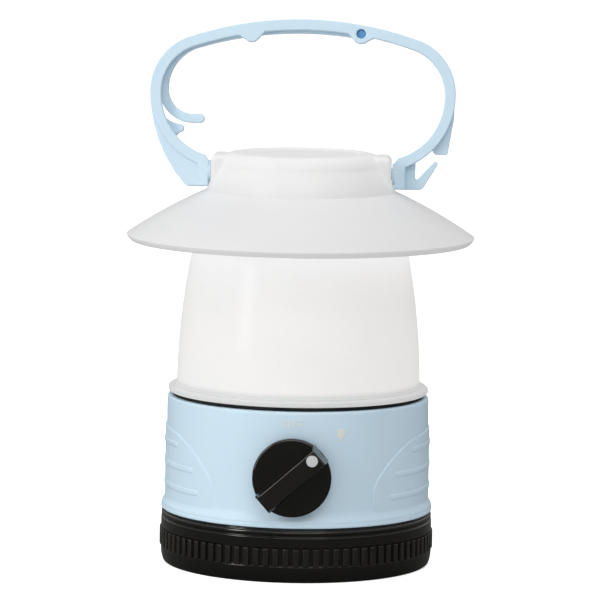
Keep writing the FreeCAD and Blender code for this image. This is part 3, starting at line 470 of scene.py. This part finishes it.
# %% Bail
BAND_FRONT, REAR, SUNK = -3.6, 3.3, -0.8
PIN_ACROSS, PIN_UP, PIN_HOLE = 19.1, 46.5, 1.55
parts = [
    slab("band", [
        (47.3, 26.1, -4.0), (37.0, 41.3, -2.93), (23.5, 45.04, -0.22), (21.5, 44.24), (16.7, 44.24, 1.03),
        (14.7, 46.54), (-13.0, 46.75, -0.85), (-15.4, 44.09), (-19.4, 44.09, 0.89), (-21.8, 45.39),
        (-37.0, 41.3, -0.27), (-47.3, 26.1, -2.93), (-33.2, 5.6, -4.0), (-32.2, 5.3), (-31.0, 3.6), (-31.0, -5.1),
        (-34.7, -5.1), (-34.7, 2.3), (-51.0, 26.1, 4.4), (-38.8, 44.5, 3.5), (38.8, 44.5, 6.6), (51.0, 26.1, 3.5),
        (34.7, 2.3, 4.4), (34.7, -5.1), (31.0, -5.1), (31.0, 3.6), (32.2, 5.3), (33.2, 5.6),
    ], BAND_FRONT, 0, hole=(PIN_ACROSS, PIN_UP, PIN_HOLE)),
    slab("left_web", [
        (-50.9, 26.1), (-39.2, -4.3, -2.9), (-37.6, -5.1, -0.2), (-33.0, -5.1), (-33.0, 3.6), (-49.3, 26.1, 4.0),
    ], BAND_FRONT + 0.6, -0.05),
    slab("left_catch", [
        (-39.2, -4.3, -1.3), (-37.6, -5.1, -0.2), (-33.0, -5.1), (-33.0, 4.5), (-42.3, 11.6, 1.0),
        (-40.9, 13.0, 0.1), (-40.7, 15.5, -1.1), (-46.9, 18.6, 0.6), (-48.9, 16.4, 0.3),
    ], SUNK, REAR),
    slab("right_tab", [
        (44.6, 6.9), (48.0, 6.9), (48.7, 7.5, -0.1), (50.6, 19.0), (50.7, 24.0), (48.2, 24.0), (47.0, 16.0),
        (42.6, 9.0),
    ], SUNK, REAR),
    slab("line_hook", [
        (33.0, -5.05), (39.0, -5.05), (40.8, -4.1, -0.25), (45.3, 3.4), (44.1, 4.2, -0.65), (39.1, -1.2),
        (38.0, -0.8, 0.5), (38.0, 5.6), (36.5, 6.0), (33.0, 4.0),
    ], SUNK, REAR),
]
for side in (-1, 1):
    block = [(side * across, up) for across, up in ((31.05, -5.05), (34.65, -5.05), (34.65, 4.4), (31.05, 3.5))]
    parts.append(slab(f"block_{side}", block, SUNK, REAR))
    parts.append(stub(f"shoulder_{side}", 3.7, (side * 32, 0, 0), (side * 30.3, 0, 0), 0.15))
    parts.append(stub(f"peg_{side}", 2.0, (side * 31, 0, 0), (side * 25.8, 0, 0)))
bail = joined(parts, "blue_bail")
set_in_place(bail, bail_place)
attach(bail, "bail")
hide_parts("handle_bail")

# %% [markdown]
# The hanging hook lies folded behind the band and turns on a pin. Only its hooked end and the underside of its arm
# show at rest. The pin's front end sits deep in its hole, and the shade in that hole is painted into the pin as a
# much darker blue than the moulding.

# %% Hanging hook and pin
ARM_FRONT, EYE_BORE, EYE_RADIUS = 0.3, 1.6, 3.1
pin_place = Matrix.Translation(Vector((PIN_ACROSS, 0, PIN_UP)) * MM) @ Matrix.Rotation(-math.pi / 2, 4, "X")
eye = turned("hook_eye", [
    (EYE_BORE, ARM_FRONT, 0.1), (EYE_RADIUS, ARM_FRONT, 0.3), (EYE_RADIUS, REAR, 0.3), (EYE_BORE, REAR, 0.1),
], SMALL_RING)
hook = joined([
    slab("hook_arm", [
        (-37.6, 43.85, 3.2), (17.1, 48.7, 3.3), (17.1, 45.3), (-35.4, 41.2, -3.0), (-45.1, 27.6, -2.7),
        (-36.8, 19.1, -2.43), (-34.3, 19.1), (-34.3, 16.1, 1.45), (-36.8, 16.1), (-48.3, 27.6, 3.37),
    ], ARM_FRONT, REAR, 0.35),
    set_in_place(eye, pin_place),
], "hanging_hook_arm")
set_in_place(hook, bail_place)
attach(hook, "hook")
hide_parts("hanging_hook")

pin = turned("hook_pivot_pin", [
    (0, -2.6), (1.5, -2.6, 0.3), (1.5, 3.6, 0.1), (2.4, 3.6, 0.15), (2.4, 4.4, 0.3), (0, 4.5),
], SMALL_RING)
set_in_place(pin, bail_place @ pin_place)
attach(pin, "bail")
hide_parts("hook_pin")

# %% [markdown]
# The switch positions are marked in low raised print: the word for off above the knob, and a small lit
# bulb to its right. The word is a text curve turned into a mesh, and both marks are wrapped onto the wall
# like a label.

# %% Printed marks
MARK_BASE, MARK_RISE = 43.8, 0.2


def wrap_mark(mesh, turn, height):
    """Wraps a flat mark, drawn in (x, y) with its thickness along z, onto the wall at that turn and height."""
    for point in mesh.vertices:
        angle = turn + point.co.x / (MARK_BASE * MM)
        radius = MARK_BASE * MM + point.co.z
        point.co = (radius * math.sin(angle), -radius * math.cos(angle), height * MM + point.co.y)
    mesh.update()


def text_mark(name, words, size, turn, height):
    """Low raised letters, size high, centred at a turn and a height on the wall."""
    letters = bpy.data.curves.new(name, "FONT")
    letters.body, letters.align_x, letters.align_y = words, "CENTER", "CENTER"
    letters.size, letters.extrude, letters.space_character = size * MM, MARK_RISE * MM, 1.08
    drawn = bpy.data.objects.new(name + "_curve", letters)
    bpy.context.scene.collection.objects.link(drawn)
    bpy.context.view_layer.update()
    made = bmesh.new()
    made.from_mesh(bpy.data.meshes.new_from_object(drawn))
    bpy.data.objects.remove(drawn)
    mark = finished(made, name)
    wrap_mark(mark.data, turn, height)
    return mark


def bulb_mark(name, turn, height):
    """An oval for the glass, two bars for the cap under it, and a dash for the light."""
    made = bmesh.new()
    glass = bmesh.ops.create_circle(made, cap_ends=True, segments=32, radius=1.35 * MM)["verts"]
    bmesh.ops.scale(made, vec=(1, 1.3, 1), verts=glass)
    for across, up, long, tall in ((0, -1.75, 1.5, 0.4), (0, -2.35, 1.3, 0.35), (2.5, 0.3, 1.3, 0.3)):
        bar = bmesh.ops.create_grid(made, x_segments=1, y_segments=1, size=0.5)["verts"]
        bmesh.ops.scale(made, vec=Vector((long, tall, 1)) * MM, verts=bar)
        bmesh.ops.translate(made, vec=Vector((across, up, 0)) * MM, verts=bar)
    raised = bmesh.ops.extrude_face_region(made, geom=made.faces[:])["geom"]
    bmesh.ops.translate(made, vec=(0, 0, MARK_RISE * MM), verts=corners_of(raised))
    mark = finished(made, name)
    wrap_mark(mark.data, turn, height)
    return mark


marks = [text_mark("off_mark", "OFF", 3.6, 0, 52.3), bulb_mark("bulb_mark", math.radians(20.8), 49.4)]
for mark in marks:
    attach(mark, "lantern")
print("marks:", [mark.name for mark in marks])

# %% [markdown]
# Finishes are built from nodes. Writing the arithmetic of masks node by node is long and hard to read, so
# a small class wraps a socket and lets Python's own + - * / make the Math nodes. A second class holds one
# material: its node method adds any other node, settings first and then inputs, and a few short methods
# name common patterns.

# %% Helpers for node finishes
class Reading:
    """A socket that can be used in sums: reading * 2 + 1, 1 - mask, and so on, each adds a Math node."""

    def __init__(self, finish, socket):
        self.finish, self.socket = finish, socket

    def sum_with(self, operation, *others):
        return self.finish.node("ShaderNodeMath", {"operation": operation}, dict(enumerate((self, *others))))

    def __add__(self, other):
        return self.sum_with("ADD", other)

    def __mul__(self, other):
        return self.sum_with("MULTIPLY", other)

    def __sub__(self, other):
        return self.sum_with("SUBTRACT", other)

    def __truediv__(self, other):
        return self.sum_with("DIVIDE", other)

    def __rsub__(self, other):
        return self.finish.node("ShaderNodeMath", {"operation": "SUBTRACT"}, {0: other, 1: self})

    __radd__, __rmul__ = __add__, __mul__

    def between(self, low, high):
        """0 at low, 1 at high, smooth in between."""
        return self.finish.node("ShaderNodeMapRange", {"interpolation_type": "SMOOTHSTEP"},
                                {"Value": self, "From Min": low, "From Max": high})


class Finish:
    """One procedural material, built round a Principled shader."""

    def __init__(self, name, **constants):
        self.material = bpy.data.materials.new(name)
        self.material.use_nodes = True
        self.tree = self.material.node_tree
        self.shader = self.tree.nodes["Principled BSDF"]
        for socket, number in constants.items():
            self.shader.inputs[socket.replace("_", " ")].default_value = number
        self.place = self.node("ShaderNodeTexCoord", out="Object")

    def node(self, kind, settings=None, inputs=None, out=0):
        """Adds a node: its settings first, then its sockets' values or links. Returns the output called out."""
        made = self.tree.nodes.new(kind)
        for key, setting in (settings or {}).items():
            setattr(made, key, setting)
        for key, entry in (inputs or {}).items():
            if isinstance(entry, Reading):
                self.tree.links.new(entry.socket, made.inputs[key])
            else:
                made.inputs[key].default_value = entry
        return Reading(self, made.outputs[out])

    def noise(self, scale, detail=3.0, roughness=0.5, stretch=(1, 1, 1)):
        """Soft clouds; scale is in repeats per metre, and stretch squeezes them along an axis."""
        spot = self.node("ShaderNodeMapping", None, {"Vector": self.place, "Scale": stretch})
        return self.node("ShaderNodeTexNoise", None,
                         {"Vector": spot, "Scale": scale, "Detail": detail, "Roughness": roughness})

    def specks(self, scale, size):
        """1 on small scattered specks, such as dust or pits, and 0 elsewhere."""
        near = self.node("ShaderNodeTexVoronoi", None, {"Vector": self.place, "Scale": scale}, "Distance")
        return near.between(size, size * 0.4)

    def scratches(self, scale, width, angle):
        """1 on long fine lines that run one way and come and go."""
        spot = self.node("ShaderNodeMapping", None,
                         {"Vector": self.place, "Rotation": (0.4, angle, angle), "Scale": (1, 1, 0.03)})
        lines = self.node("ShaderNodeTexVoronoi", {"feature": "DISTANCE_TO_EDGE"},
                          {"Vector": spot, "Scale": scale}, "Distance")
        return lines.between(width, 0) * self.noise(scale * 0.3).between(0.5, 0.65)

    def mix(self, low, high, factor):
        """The colour low where the factor is 0 and high where it is 1."""
        low, high = (end if isinstance(end, Reading) else (*end, 1) for end in (low, high))
        return self.node("ShaderNodeMix", {"data_type": "RGBA"}, {0: factor, 6: low, 7: high}, 2)

    def axis(self, letter):
        """One coordinate of the point, in metres."""
        return self.node("ShaderNodeSeparateXYZ", None, {0: self.place}, letter)

    def edge_highlight_and_wear(self):
        """1 on edges and rims that stand proud, 0 on flats."""
        point = self.node("ShaderNodeNewGeometry", out="Pointiness")
        return point.between(0.515, 0.56)

    def coat(self, colour=None, rough=None, bumps=(), glow=None):
        """Connects what varies to the shader; bumps are (height, strength, depth in metres) from coarse to fine."""
        for socket, entry in (("Base Color", colour), ("Roughness", rough), ("Emission Color", glow)):
            if isinstance(entry, Reading):
                self.tree.links.new(entry.socket, self.shader.inputs[socket])
            elif entry is not None:
                self.shader.inputs[socket].default_value = (*entry, 1) if isinstance(entry, tuple) else entry
        normal = None
        for height, strength, depth in bumps:
            wired = {"Height": height, "Strength": strength, "Distance": depth}
            if normal:
                wired["Normal"] = normal
            normal = self.node("ShaderNodeBump", None, wired)
        if normal:
            self.tree.links.new(normal.socket, self.shader.inputs["Normal"])
        return self.material


def dress(material, *things):
    """Gives each piece this material and no other."""
    for thing in things:
        thing.data.materials.clear()
        thing.data.materials.append(material)
        print(f"{material.name} on {thing.name}")


# %% [markdown]
# The blue mouldings are polypropylene: satin, slightly milky, with faint flow mottling from the mould, a
# very fine spark-eroded grain and a few hairline handling scratches. The colour shifts only a little, or
# it would look dirty.

# %% Blue plastic
def blue_plastic(name, light, deep):
    finish = Finish(name, Specular_IOR_Level=0.32)
    flow = finish.noise(28, 2, 0.45, (1, 1, 0.35))
    mottle = finish.noise(420, 4, 0.6)
    grain = finish.noise(5200, 2, 0.5)
    scratch = finish.scratches(160, 0.012, 0.7)
    tint = finish.mix(deep, light, flow.between(0.3, 0.7) * 0.8 + mottle * 0.2)
    colour = finish.mix(tint, (0.78, 0.87, 0.93), scratch * 0.12)
    rough = 0.36 + mottle * 0.08 + scratch * 0.1
    return finish.coat(colour, rough, ((mottle, 0.12, 0.00004), (grain, 0.1, 0.00002)))


blue = blue_plastic("blue_polypropylene", (0.60, 0.76, 0.87), (0.575, 0.74, 0.855))
# A much darker copy of the blue plastic for the pin: painted shade of the deep hole it sits in.
pin_painted_shade_blue = blue_plastic("pin_plastic_painted_shade", (0.11, 0.33, 0.58), (0.09, 0.29, 0.53))
dress(blue, housing, bail, hook)
dress(pin_painted_shade_blue, pin)

# %% [markdown]
# Frosted polypropylene scatters light inside its wall, so it has soft shading and almost no sharp reflection. Some
# subsurface scattering gives that. Both frosted pieces also glow, and much of that glow is painted light that evens
# out their shading. The lamp sits low inside the globe, so the globe's glow is strongest at the lamp's height on the
# near side, worked out from the distance to the lamp; that part stands partly for the lamp's own light. Above a set
# height the glow grows brighter again: painted light that fills the shade under the hat and lightens the hat's
# collar. The flange glows less. The hat is no lamp, so all of its glow is painted light.

# %% Frosted plastics
LAMP = Vector((0.010, 0.0, 0.074))
GLOW_FAR, GLOW_NEAR = 0.075, 0.034
FLANGE_LOW, FLANGE_TOP = 0.0598, 0.0625


def frosted(name, light, shade, lamp_and_painted_glow_strength, specular, painted_light_heights):
    """Milky plastic with a glow that is partly painted light; the last argument gives the two heights between which
    the painted glow grows brighter.
    """
    finish = Finish(name, Specular_IOR_Level=specular, Subsurface_Weight=0.25, Subsurface_Scale=0.004,
                    Emission_Strength=lamp_and_painted_glow_strength, Coat_Weight=0.12, Coat_Roughness=0.07)
    finish.shader.inputs["Subsurface Radius"].default_value = (1.0, 0.9, 0.8)
    cloud = finish.noise(36, 3, 0.5)
    frost = finish.noise(900, 4, 0.65)
    pits = finish.specks(1400, 0.18)
    far = finish.node("ShaderNodeVectorMath", {"operation": "DISTANCE"},
                      {0: finish.place, 1: tuple(LAMP)}, "Value")
    near = far.between(GLOW_FAR, GLOW_NEAR)
    colour = finish.mix(finish.mix(shade, light, cloud.between(0.3, 0.7)), (0.93, 0.93, 0.92), pits * 0.3)
    height = finish.axis("Z")
    # Glow that is warmer and stronger near the lamp: partly the lamp's light through the wall, partly painted light.
    glow = finish.mix((0.72, 0.73, 0.74), (0.84, 0.815, 0.785), near)
    # Painted light: the glow grows brighter above the given heights, filling the shade under the hat and lightening
    # the collar.
    glow = finish.mix(glow, (1.0, 0.99, 0.985), height.between(*painted_light_heights))
    # The painted glow is dimmer on the flange.
    glow = finish.mix((0.52, 0.52, 0.515), glow, height.between(FLANGE_LOW, FLANGE_TOP))
    bumps = (frost, 0.15, 0.00003), (pits, 0.2, 0.00003)
    return finish.coat(colour, 0.34 + frost * 0.12 + pits * 0.1, bumps, glow)


# The globe's glow is partly the lamp inside and partly painted light; the hat's glow is all painted light.
milky = frosted("frosted_globe_plastic", (0.355, 0.36, 0.365), (0.34, 0.345, 0.355), 0.67, 0.12, (0.088, 0.108))
cloudy = frosted("frosted_hat_plastic", (0.46, 0.46, 0.46), (0.445, 0.445, 0.45), 0.36, 0.16, (0.120, 0.132))
dress(milky, globe)
dress(cloudy, hat, crown)

# %% [markdown]
# The battery cup and the knob are high-gloss black. Gloss shows every mark, so this finish carries faint smears in
# its roughness, a few dust specks and hairline scratches. Its raised edges are painted slightly lighter and warmer,
# a painted highlight that also stands for a little grey handling wear.

# %% Glossy black
black_finish = Finish("gloss_black_plastic", Specular_IOR_Level=0.6)
smear = black_finish.noise(60, 4, 0.6, (1, 1, 2.5))
dust = black_finish.specks(700, 0.07)
hairline = black_finish.scratches(220, 0.01, 1.9)
# Painted highlight: raised edges get lighter and warmer, standing partly for a little handling wear too.
edge = black_finish.edge_highlight_and_wear()
base = black_finish.mix((0.0028, 0.0026, 0.0020), (0.0052, 0.0048, 0.0038), smear)
wear_and_edge_highlight = black_finish.mix(base, (0.05, 0.046, 0.036), edge * 0.25 + dust * 0.25 + hairline * 0.08)
black = black_finish.coat(wear_and_edge_highlight, 0.07 + smear * 0.08 + dust * 0.3 + edge * 0.1,
                          ((smear, 0.05, 0.00005), (hairline, 0.06, 0.00001)))
dress(black, cup, knob)

# %% [markdown]
# The seal is matt rubber with a faint grey bloom. The marks share one pale print, and the dot has a
# greyer one.

# %% Rubber and print
rubber_finish = Finish("black_seal_rubber", Specular_IOR_Level=0.2)
skin = rubber_finish.noise(1500, 3, 0.6)
bloom = rubber_finish.noise(90, 2, 0.5).between(0.45, 0.75)
rubber_colour = rubber_finish.mix((0.012, 0.012, 0.013), (0.028, 0.027, 0.026), bloom)
rubber = rubber_finish.coat(rubber_colour, 0.62 + skin * 0.2, ((skin, 0.25, 0.00004),))
dress(rubber, seal)


def ink(name, low, high):
    """Matt print that varies between two close colours."""
    finish = Finish(name, Specular_IOR_Level=0.3)
    grain = finish.noise(2600, 3, 0.7)
    return finish.coat(finish.mix(low, high, grain), 0.45 + grain * 0.2, ((grain, 0.2, 0.00002),))


dress(ink("pale_print", (0.70, 0.74, 0.73), (0.79, 0.82, 0.78)), *marks)
dress(ink("grey_white_dot", (0.47, 0.50, 0.50), (0.58, 0.61, 0.60)), dot)

# %% [markdown]
# Inside the lantern are parts that only show when the cup drops or when a piece is lifted out for another
# job. They keep the frame's exact meshes and get finishes of their own: plated steel with fine turning
# marks, brushed nickel springs, brass blades, printed cell jackets, a white circuit board and soft wire
# insulation.

# %% Metals
def metal(name, dark, bright, rough, grain_scale, stretch):
    finish = Finish(name, Metallic=1.0)
    lines = finish.noise(grain_scale, 3, 0.6, stretch)
    stain = finish.noise(120, 3, 0.5)
    scuff = finish.scratches(400, 0.015, 1.1)
    colour = finish.mix(finish.mix(dark, bright, lines.between(0.3, 0.7)), bright, stain * 0.5)
    return finish.coat(colour, rough + lines * 0.12 + scuff * 0.15 + stain * 0.06,
                       ((lines, 0.15, 0.00002), (scuff, 0.1, 0.00001)))


steel = metal("zinc_plated_steel", (0.42, 0.43, 0.45), (0.66, 0.67, 0.68), 0.24, 2400, (1, 1, 6))
nickel = metal("nickel_spring_steel", (0.52, 0.50, 0.46), (0.74, 0.72, 0.68), 0.2, 3200, (1, 1, 0.4))
brass = metal("blade_brass", (0.52, 0.36, 0.14), (0.78, 0.60, 0.28), 0.26, 2000, (1, 5, 1))
dress(steel, *(nodes[name] for name in ("shade_screws", "case_screws", "board_screws", "disc_screw", "switch_nut",
                                        "switch_shaft")))
dress(nickel, *(nodes[name] for name in ("top_contacts", "contact_straps", "cell_springs")))
dress(brass, nodes["switch_terminals"])

# %% [markdown]
# Moulded inner parts have no paint: white ones yellow a little and pick up grey dust, black ones have a
# matt grain.

# %% Inner mouldings and wires
def moulded(name, light, deep, rough, grain_depth=0.00003, **constants):
    finish = Finish(name, Specular_IOR_Level=0.35, **constants)
    cloud = finish.noise(70, 3, 0.55)
    grain = finish.noise(3000, 3, 0.6)
    speck = finish.specks(900, 0.09)
    colour = finish.mix(finish.mix(deep, light, cloud.between(0.3, 0.7)), deep, speck * 0.6)
    return finish.coat(colour, rough + grain * 0.1 + speck * 0.1, ((cloud, 0.05, 0.0001), (grain, 0.2, grain_depth)))


white_inner = moulded("white_styrene", (0.80, 0.80, 0.78), (0.72, 0.71, 0.67), 0.4)
black_inner = moulded("black_switch_body", (0.028, 0.028, 0.028), (0.014, 0.014, 0.015), 0.5)
gasket = moulded("gasket_rubber", (0.024, 0.023, 0.023), (0.014, 0.014, 0.014), 0.65)
red = moulded("red_wire_jacket", (0.55, 0.03, 0.025), (0.40, 0.02, 0.02), 0.38, 0.00001)
dark = moulded("black_wire_jacket", (0.022, 0.022, 0.024), (0.012, 0.012, 0.013), 0.4, 0.00001)
dress(white_inner, nodes["battery_case"], nodes["contact_disc"], nodes["reflector"])
dress(black_inner, nodes["switch_body"])
dress(gasket, nodes["cap_gasket"])
dress(red, nodes["wire_red"])
dress(dark, nodes["wire_black"])

# %% [markdown]
# The lamp's board is white with a fine glass weave and a brick grid that stands for its pads. The lamp
# itself is a white package with a yellow, glowing dome on top, split at the dome's foot by height.

# %% Board and lamp
board_finish = Finish("white_circuit_board", Specular_IOR_Level=0.45)
weave = board_finish.noise(2200, 2, 0.5, (1, 0.2, 1)) * board_finish.noise(2200, 2, 0.5, (0.2, 1, 1))
pad_field = board_finish.node("ShaderNodeTexBrick", {"offset": 0.5, "squash": 1.0}, {
    "Vector": board_finish.place, "Scale": 190.0, "Mortar Size": 0.03, "Color1": (0, 0, 0, 1),
    "Color2": (0.1, 0.1, 0.1, 1), "Mortar": (1, 1, 1, 1)}, "Fac")
board = board_finish.coat(board_finish.mix(board_finish.mix((0.74, 0.75, 0.73), (0.66, 0.68, 0.66), weave),
                                           (0.50, 0.38, 0.18), pad_field * 0.25),
                          0.3 + weave * 0.3, ((weave, 0.2, 0.00003), (pad_field, 0.3, 0.00003)))
dress(board, nodes["led_board"])
chip_finish = Finish("phosphor_lamp", Specular_IOR_Level=0.5, Emission_Strength=0.6)
phosphor = chip_finish.noise(3000, 3, 0.6)
dome = chip_finish.axis("Z").between(0.0665, 0.0675)
yellow = chip_finish.mix((0.80, 0.62, 0.16), (0.88, 0.72, 0.25), phosphor)
chip_colour = chip_finish.mix((0.75, 0.74, 0.70), yellow, dome)
chip = chip_finish.coat(chip_colour, 0.25 + phosphor * 0.15, ((phosphor, 0.15, 0.00002),),
                        chip_finish.mix((0.1, 0.09, 0.07), (1.0, 0.86, 0.60), dome))
dress(chip, nodes["led"])

# %% [markdown]
# A cell's jacket is a printed sleeve: a metallic band at one end, a plain dark colour over the rest and a
# thin pale line between them. The bands are read from the height, and the steel ends show where the
# sleeve is crimped over.

# %% Cell jackets
def cell_jacket(number):
    low, high = (corner.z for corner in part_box(f"cell_{number}"))
    finish = Finish(f"cell_jacket_{number}", Metallic=0.6, Specular_IOR_Level=0.5)
    up = (finish.axis("Z") - low) / (high - low)
    if number % 2 == 0:
        up = 1 - up
    print_grain = finish.noise(1800, 3, 0.6)
    band = up.between(0.66, 0.67)
    line = band - up.between(0.685, 0.69)
    crimp = up.between(0.965, 0.97) + (1 - up.between(0.02, 0.025))
    sleeve = finish.mix(finish.mix((0.02, 0.05, 0.13), (0.03, 0.07, 0.17), print_grain), (0.55, 0.42, 0.22), band)
    colour = finish.mix(finish.mix(sleeve, (0.8, 0.8, 0.78), line), (0.62, 0.62, 0.63), crimp)
    return finish.coat(colour, 0.28 + print_grain * 0.12, ((print_grain, 0.1, 0.00001), (crimp, 0.3, 0.00003)))


for number in range(1, 5):
    dress(cell_jacket(number), nodes[f"cell_{number}"])

# %% [markdown]
# The studio is a pale floor, a tall narrow softbox at the left, a wide one high in front and a scrim
# above. Floor and room are staged by kind of ray. The camera sees both near white. Light that bounces
# softly off the lantern finds a mid-grey floor, and mirror reflections find a dark one, which keeps the
# black deep. The room that lights the lantern is dim below and brighter above.

# %% Floor and lights
FLOOR_SIZE = 12.0
floor_mesh = bpy.data.meshes.new("floor")
sheet = bmesh.new()
bmesh.ops.create_grid(sheet, x_segments=2, y_segments=2, size=FLOOR_SIZE / 2)
sheet.to_mesh(floor_mesh)
sheet.free()
floor = bpy.data.objects.new("floor", floor_mesh)
bpy.context.scene.collection.objects.link(floor)
floor_finish = Finish("pale_floor", Specular_IOR_Level=0.1, Emission_Strength=0.62)
paper = floor_finish.noise(400, 3, 0.5)
table_colour = floor_finish.mix((0.86, 0.86, 0.86), (0.89, 0.89, 0.89), paper)
floor_finish.coat(table_colour, 0.8, ((paper, 0.05, 0.0001),), (1.0, 1.0, 1.0))
soft_bounce = floor_finish.node("ShaderNodeBsdfDiffuse", None, {"Color": (0.68, 0.68, 0.69, 1)})
dark_mirror = floor_finish.node("ShaderNodeBsdfDiffuse", None, {"Color": (0.13, 0.13, 0.12, 1)})
softly = floor_finish.node("ShaderNodeLightPath", out="Is Diffuse Ray")
bounce = floor_finish.node("ShaderNodeMixShader", None, {0: softly, 1: dark_mirror, 2: soft_bounce})
directly = floor_finish.node("ShaderNodeLightPath", out="Is Camera Ray")
table_top = floor_finish.node("ShaderNodeMixShader", None, {
    0: directly, 1: bounce, 2: Reading(floor_finish, floor_finish.shader.outputs[0])})
floor_finish.tree.links.new(table_top.socket, floor_finish.tree.nodes["Material Output"].inputs["Surface"])
floor.data.materials.append(floor_finish.material)


def softbox(name, place, size, target, power, colour=(1, 1, 1)):
    """A rectangular area light that faces its target."""
    light = bpy.data.lights.new(name, "AREA")
    light.shape, light.size, light.size_y = "RECTANGLE", *size
    light.energy, light.color = power, colour
    box = bpy.data.objects.new(name, light)
    bpy.context.scene.collection.objects.link(box)
    toward = (Vector(target) - Vector(place)).to_track_quat("-Z", "Y").to_matrix().to_4x4()
    box.matrix_world = Matrix.Translation(place) @ toward
    print(f"{name}: {power} W over {size[0]} x {size[1]} m")
    return box


LANTERN_MIDDLE = (0, 0, 0.09)
softbox("key_softbox", (-0.93, -0.755, 0.52), (0.28, 0.95), LANTERN_MIDDLE, 5.9, (1, 0.985, 0.965))
softbox("front_softbox", (0.15, -1.5, 1.3), (1.4, 0.9), LANTERN_MIDDLE, 7.6)
softbox("overhead_scrim", (-0.1, 0.1, 1.4), (1.6, 1.6), LANTERN_MIDDLE, 4.2)

LOW_ROOM, HIGH_ROOM = 0.14, 0.73
world = bpy.data.worlds.new("studio")
world.use_nodes = True
bpy.context.scene.world = world
room = world.node_tree
background = room.nodes["Background"]
direction = room.nodes.new("ShaderNodeTexCoord")
upward = room.nodes.new("ShaderNodeSeparateXYZ")
glow = room.nodes.new("ShaderNodeMapRange")
for socket, number in (("From Min", -0.05), ("From Max", 0.65), ("To Min", LOW_ROOM), ("To Max", HIGH_ROOM)):
    glow.inputs[socket].default_value = number
seen = room.nodes.new("ShaderNodeLightPath")
brightest = room.nodes.new("ShaderNodeMath")
brightest.operation = "MAXIMUM"
room.links.new(direction.outputs["Generated"], upward.inputs[0])
room.links.new(upward.outputs["Z"], glow.inputs["Value"])
room.links.new(glow.outputs["Result"], brightest.inputs[0])
room.links.new(seen.outputs["Is Camera Ray"], brightest.inputs[1])
room.links.new(brightest.outputs[0], background.inputs["Strength"])
background.inputs["Color"].default_value = (1, 1, 1, 1)
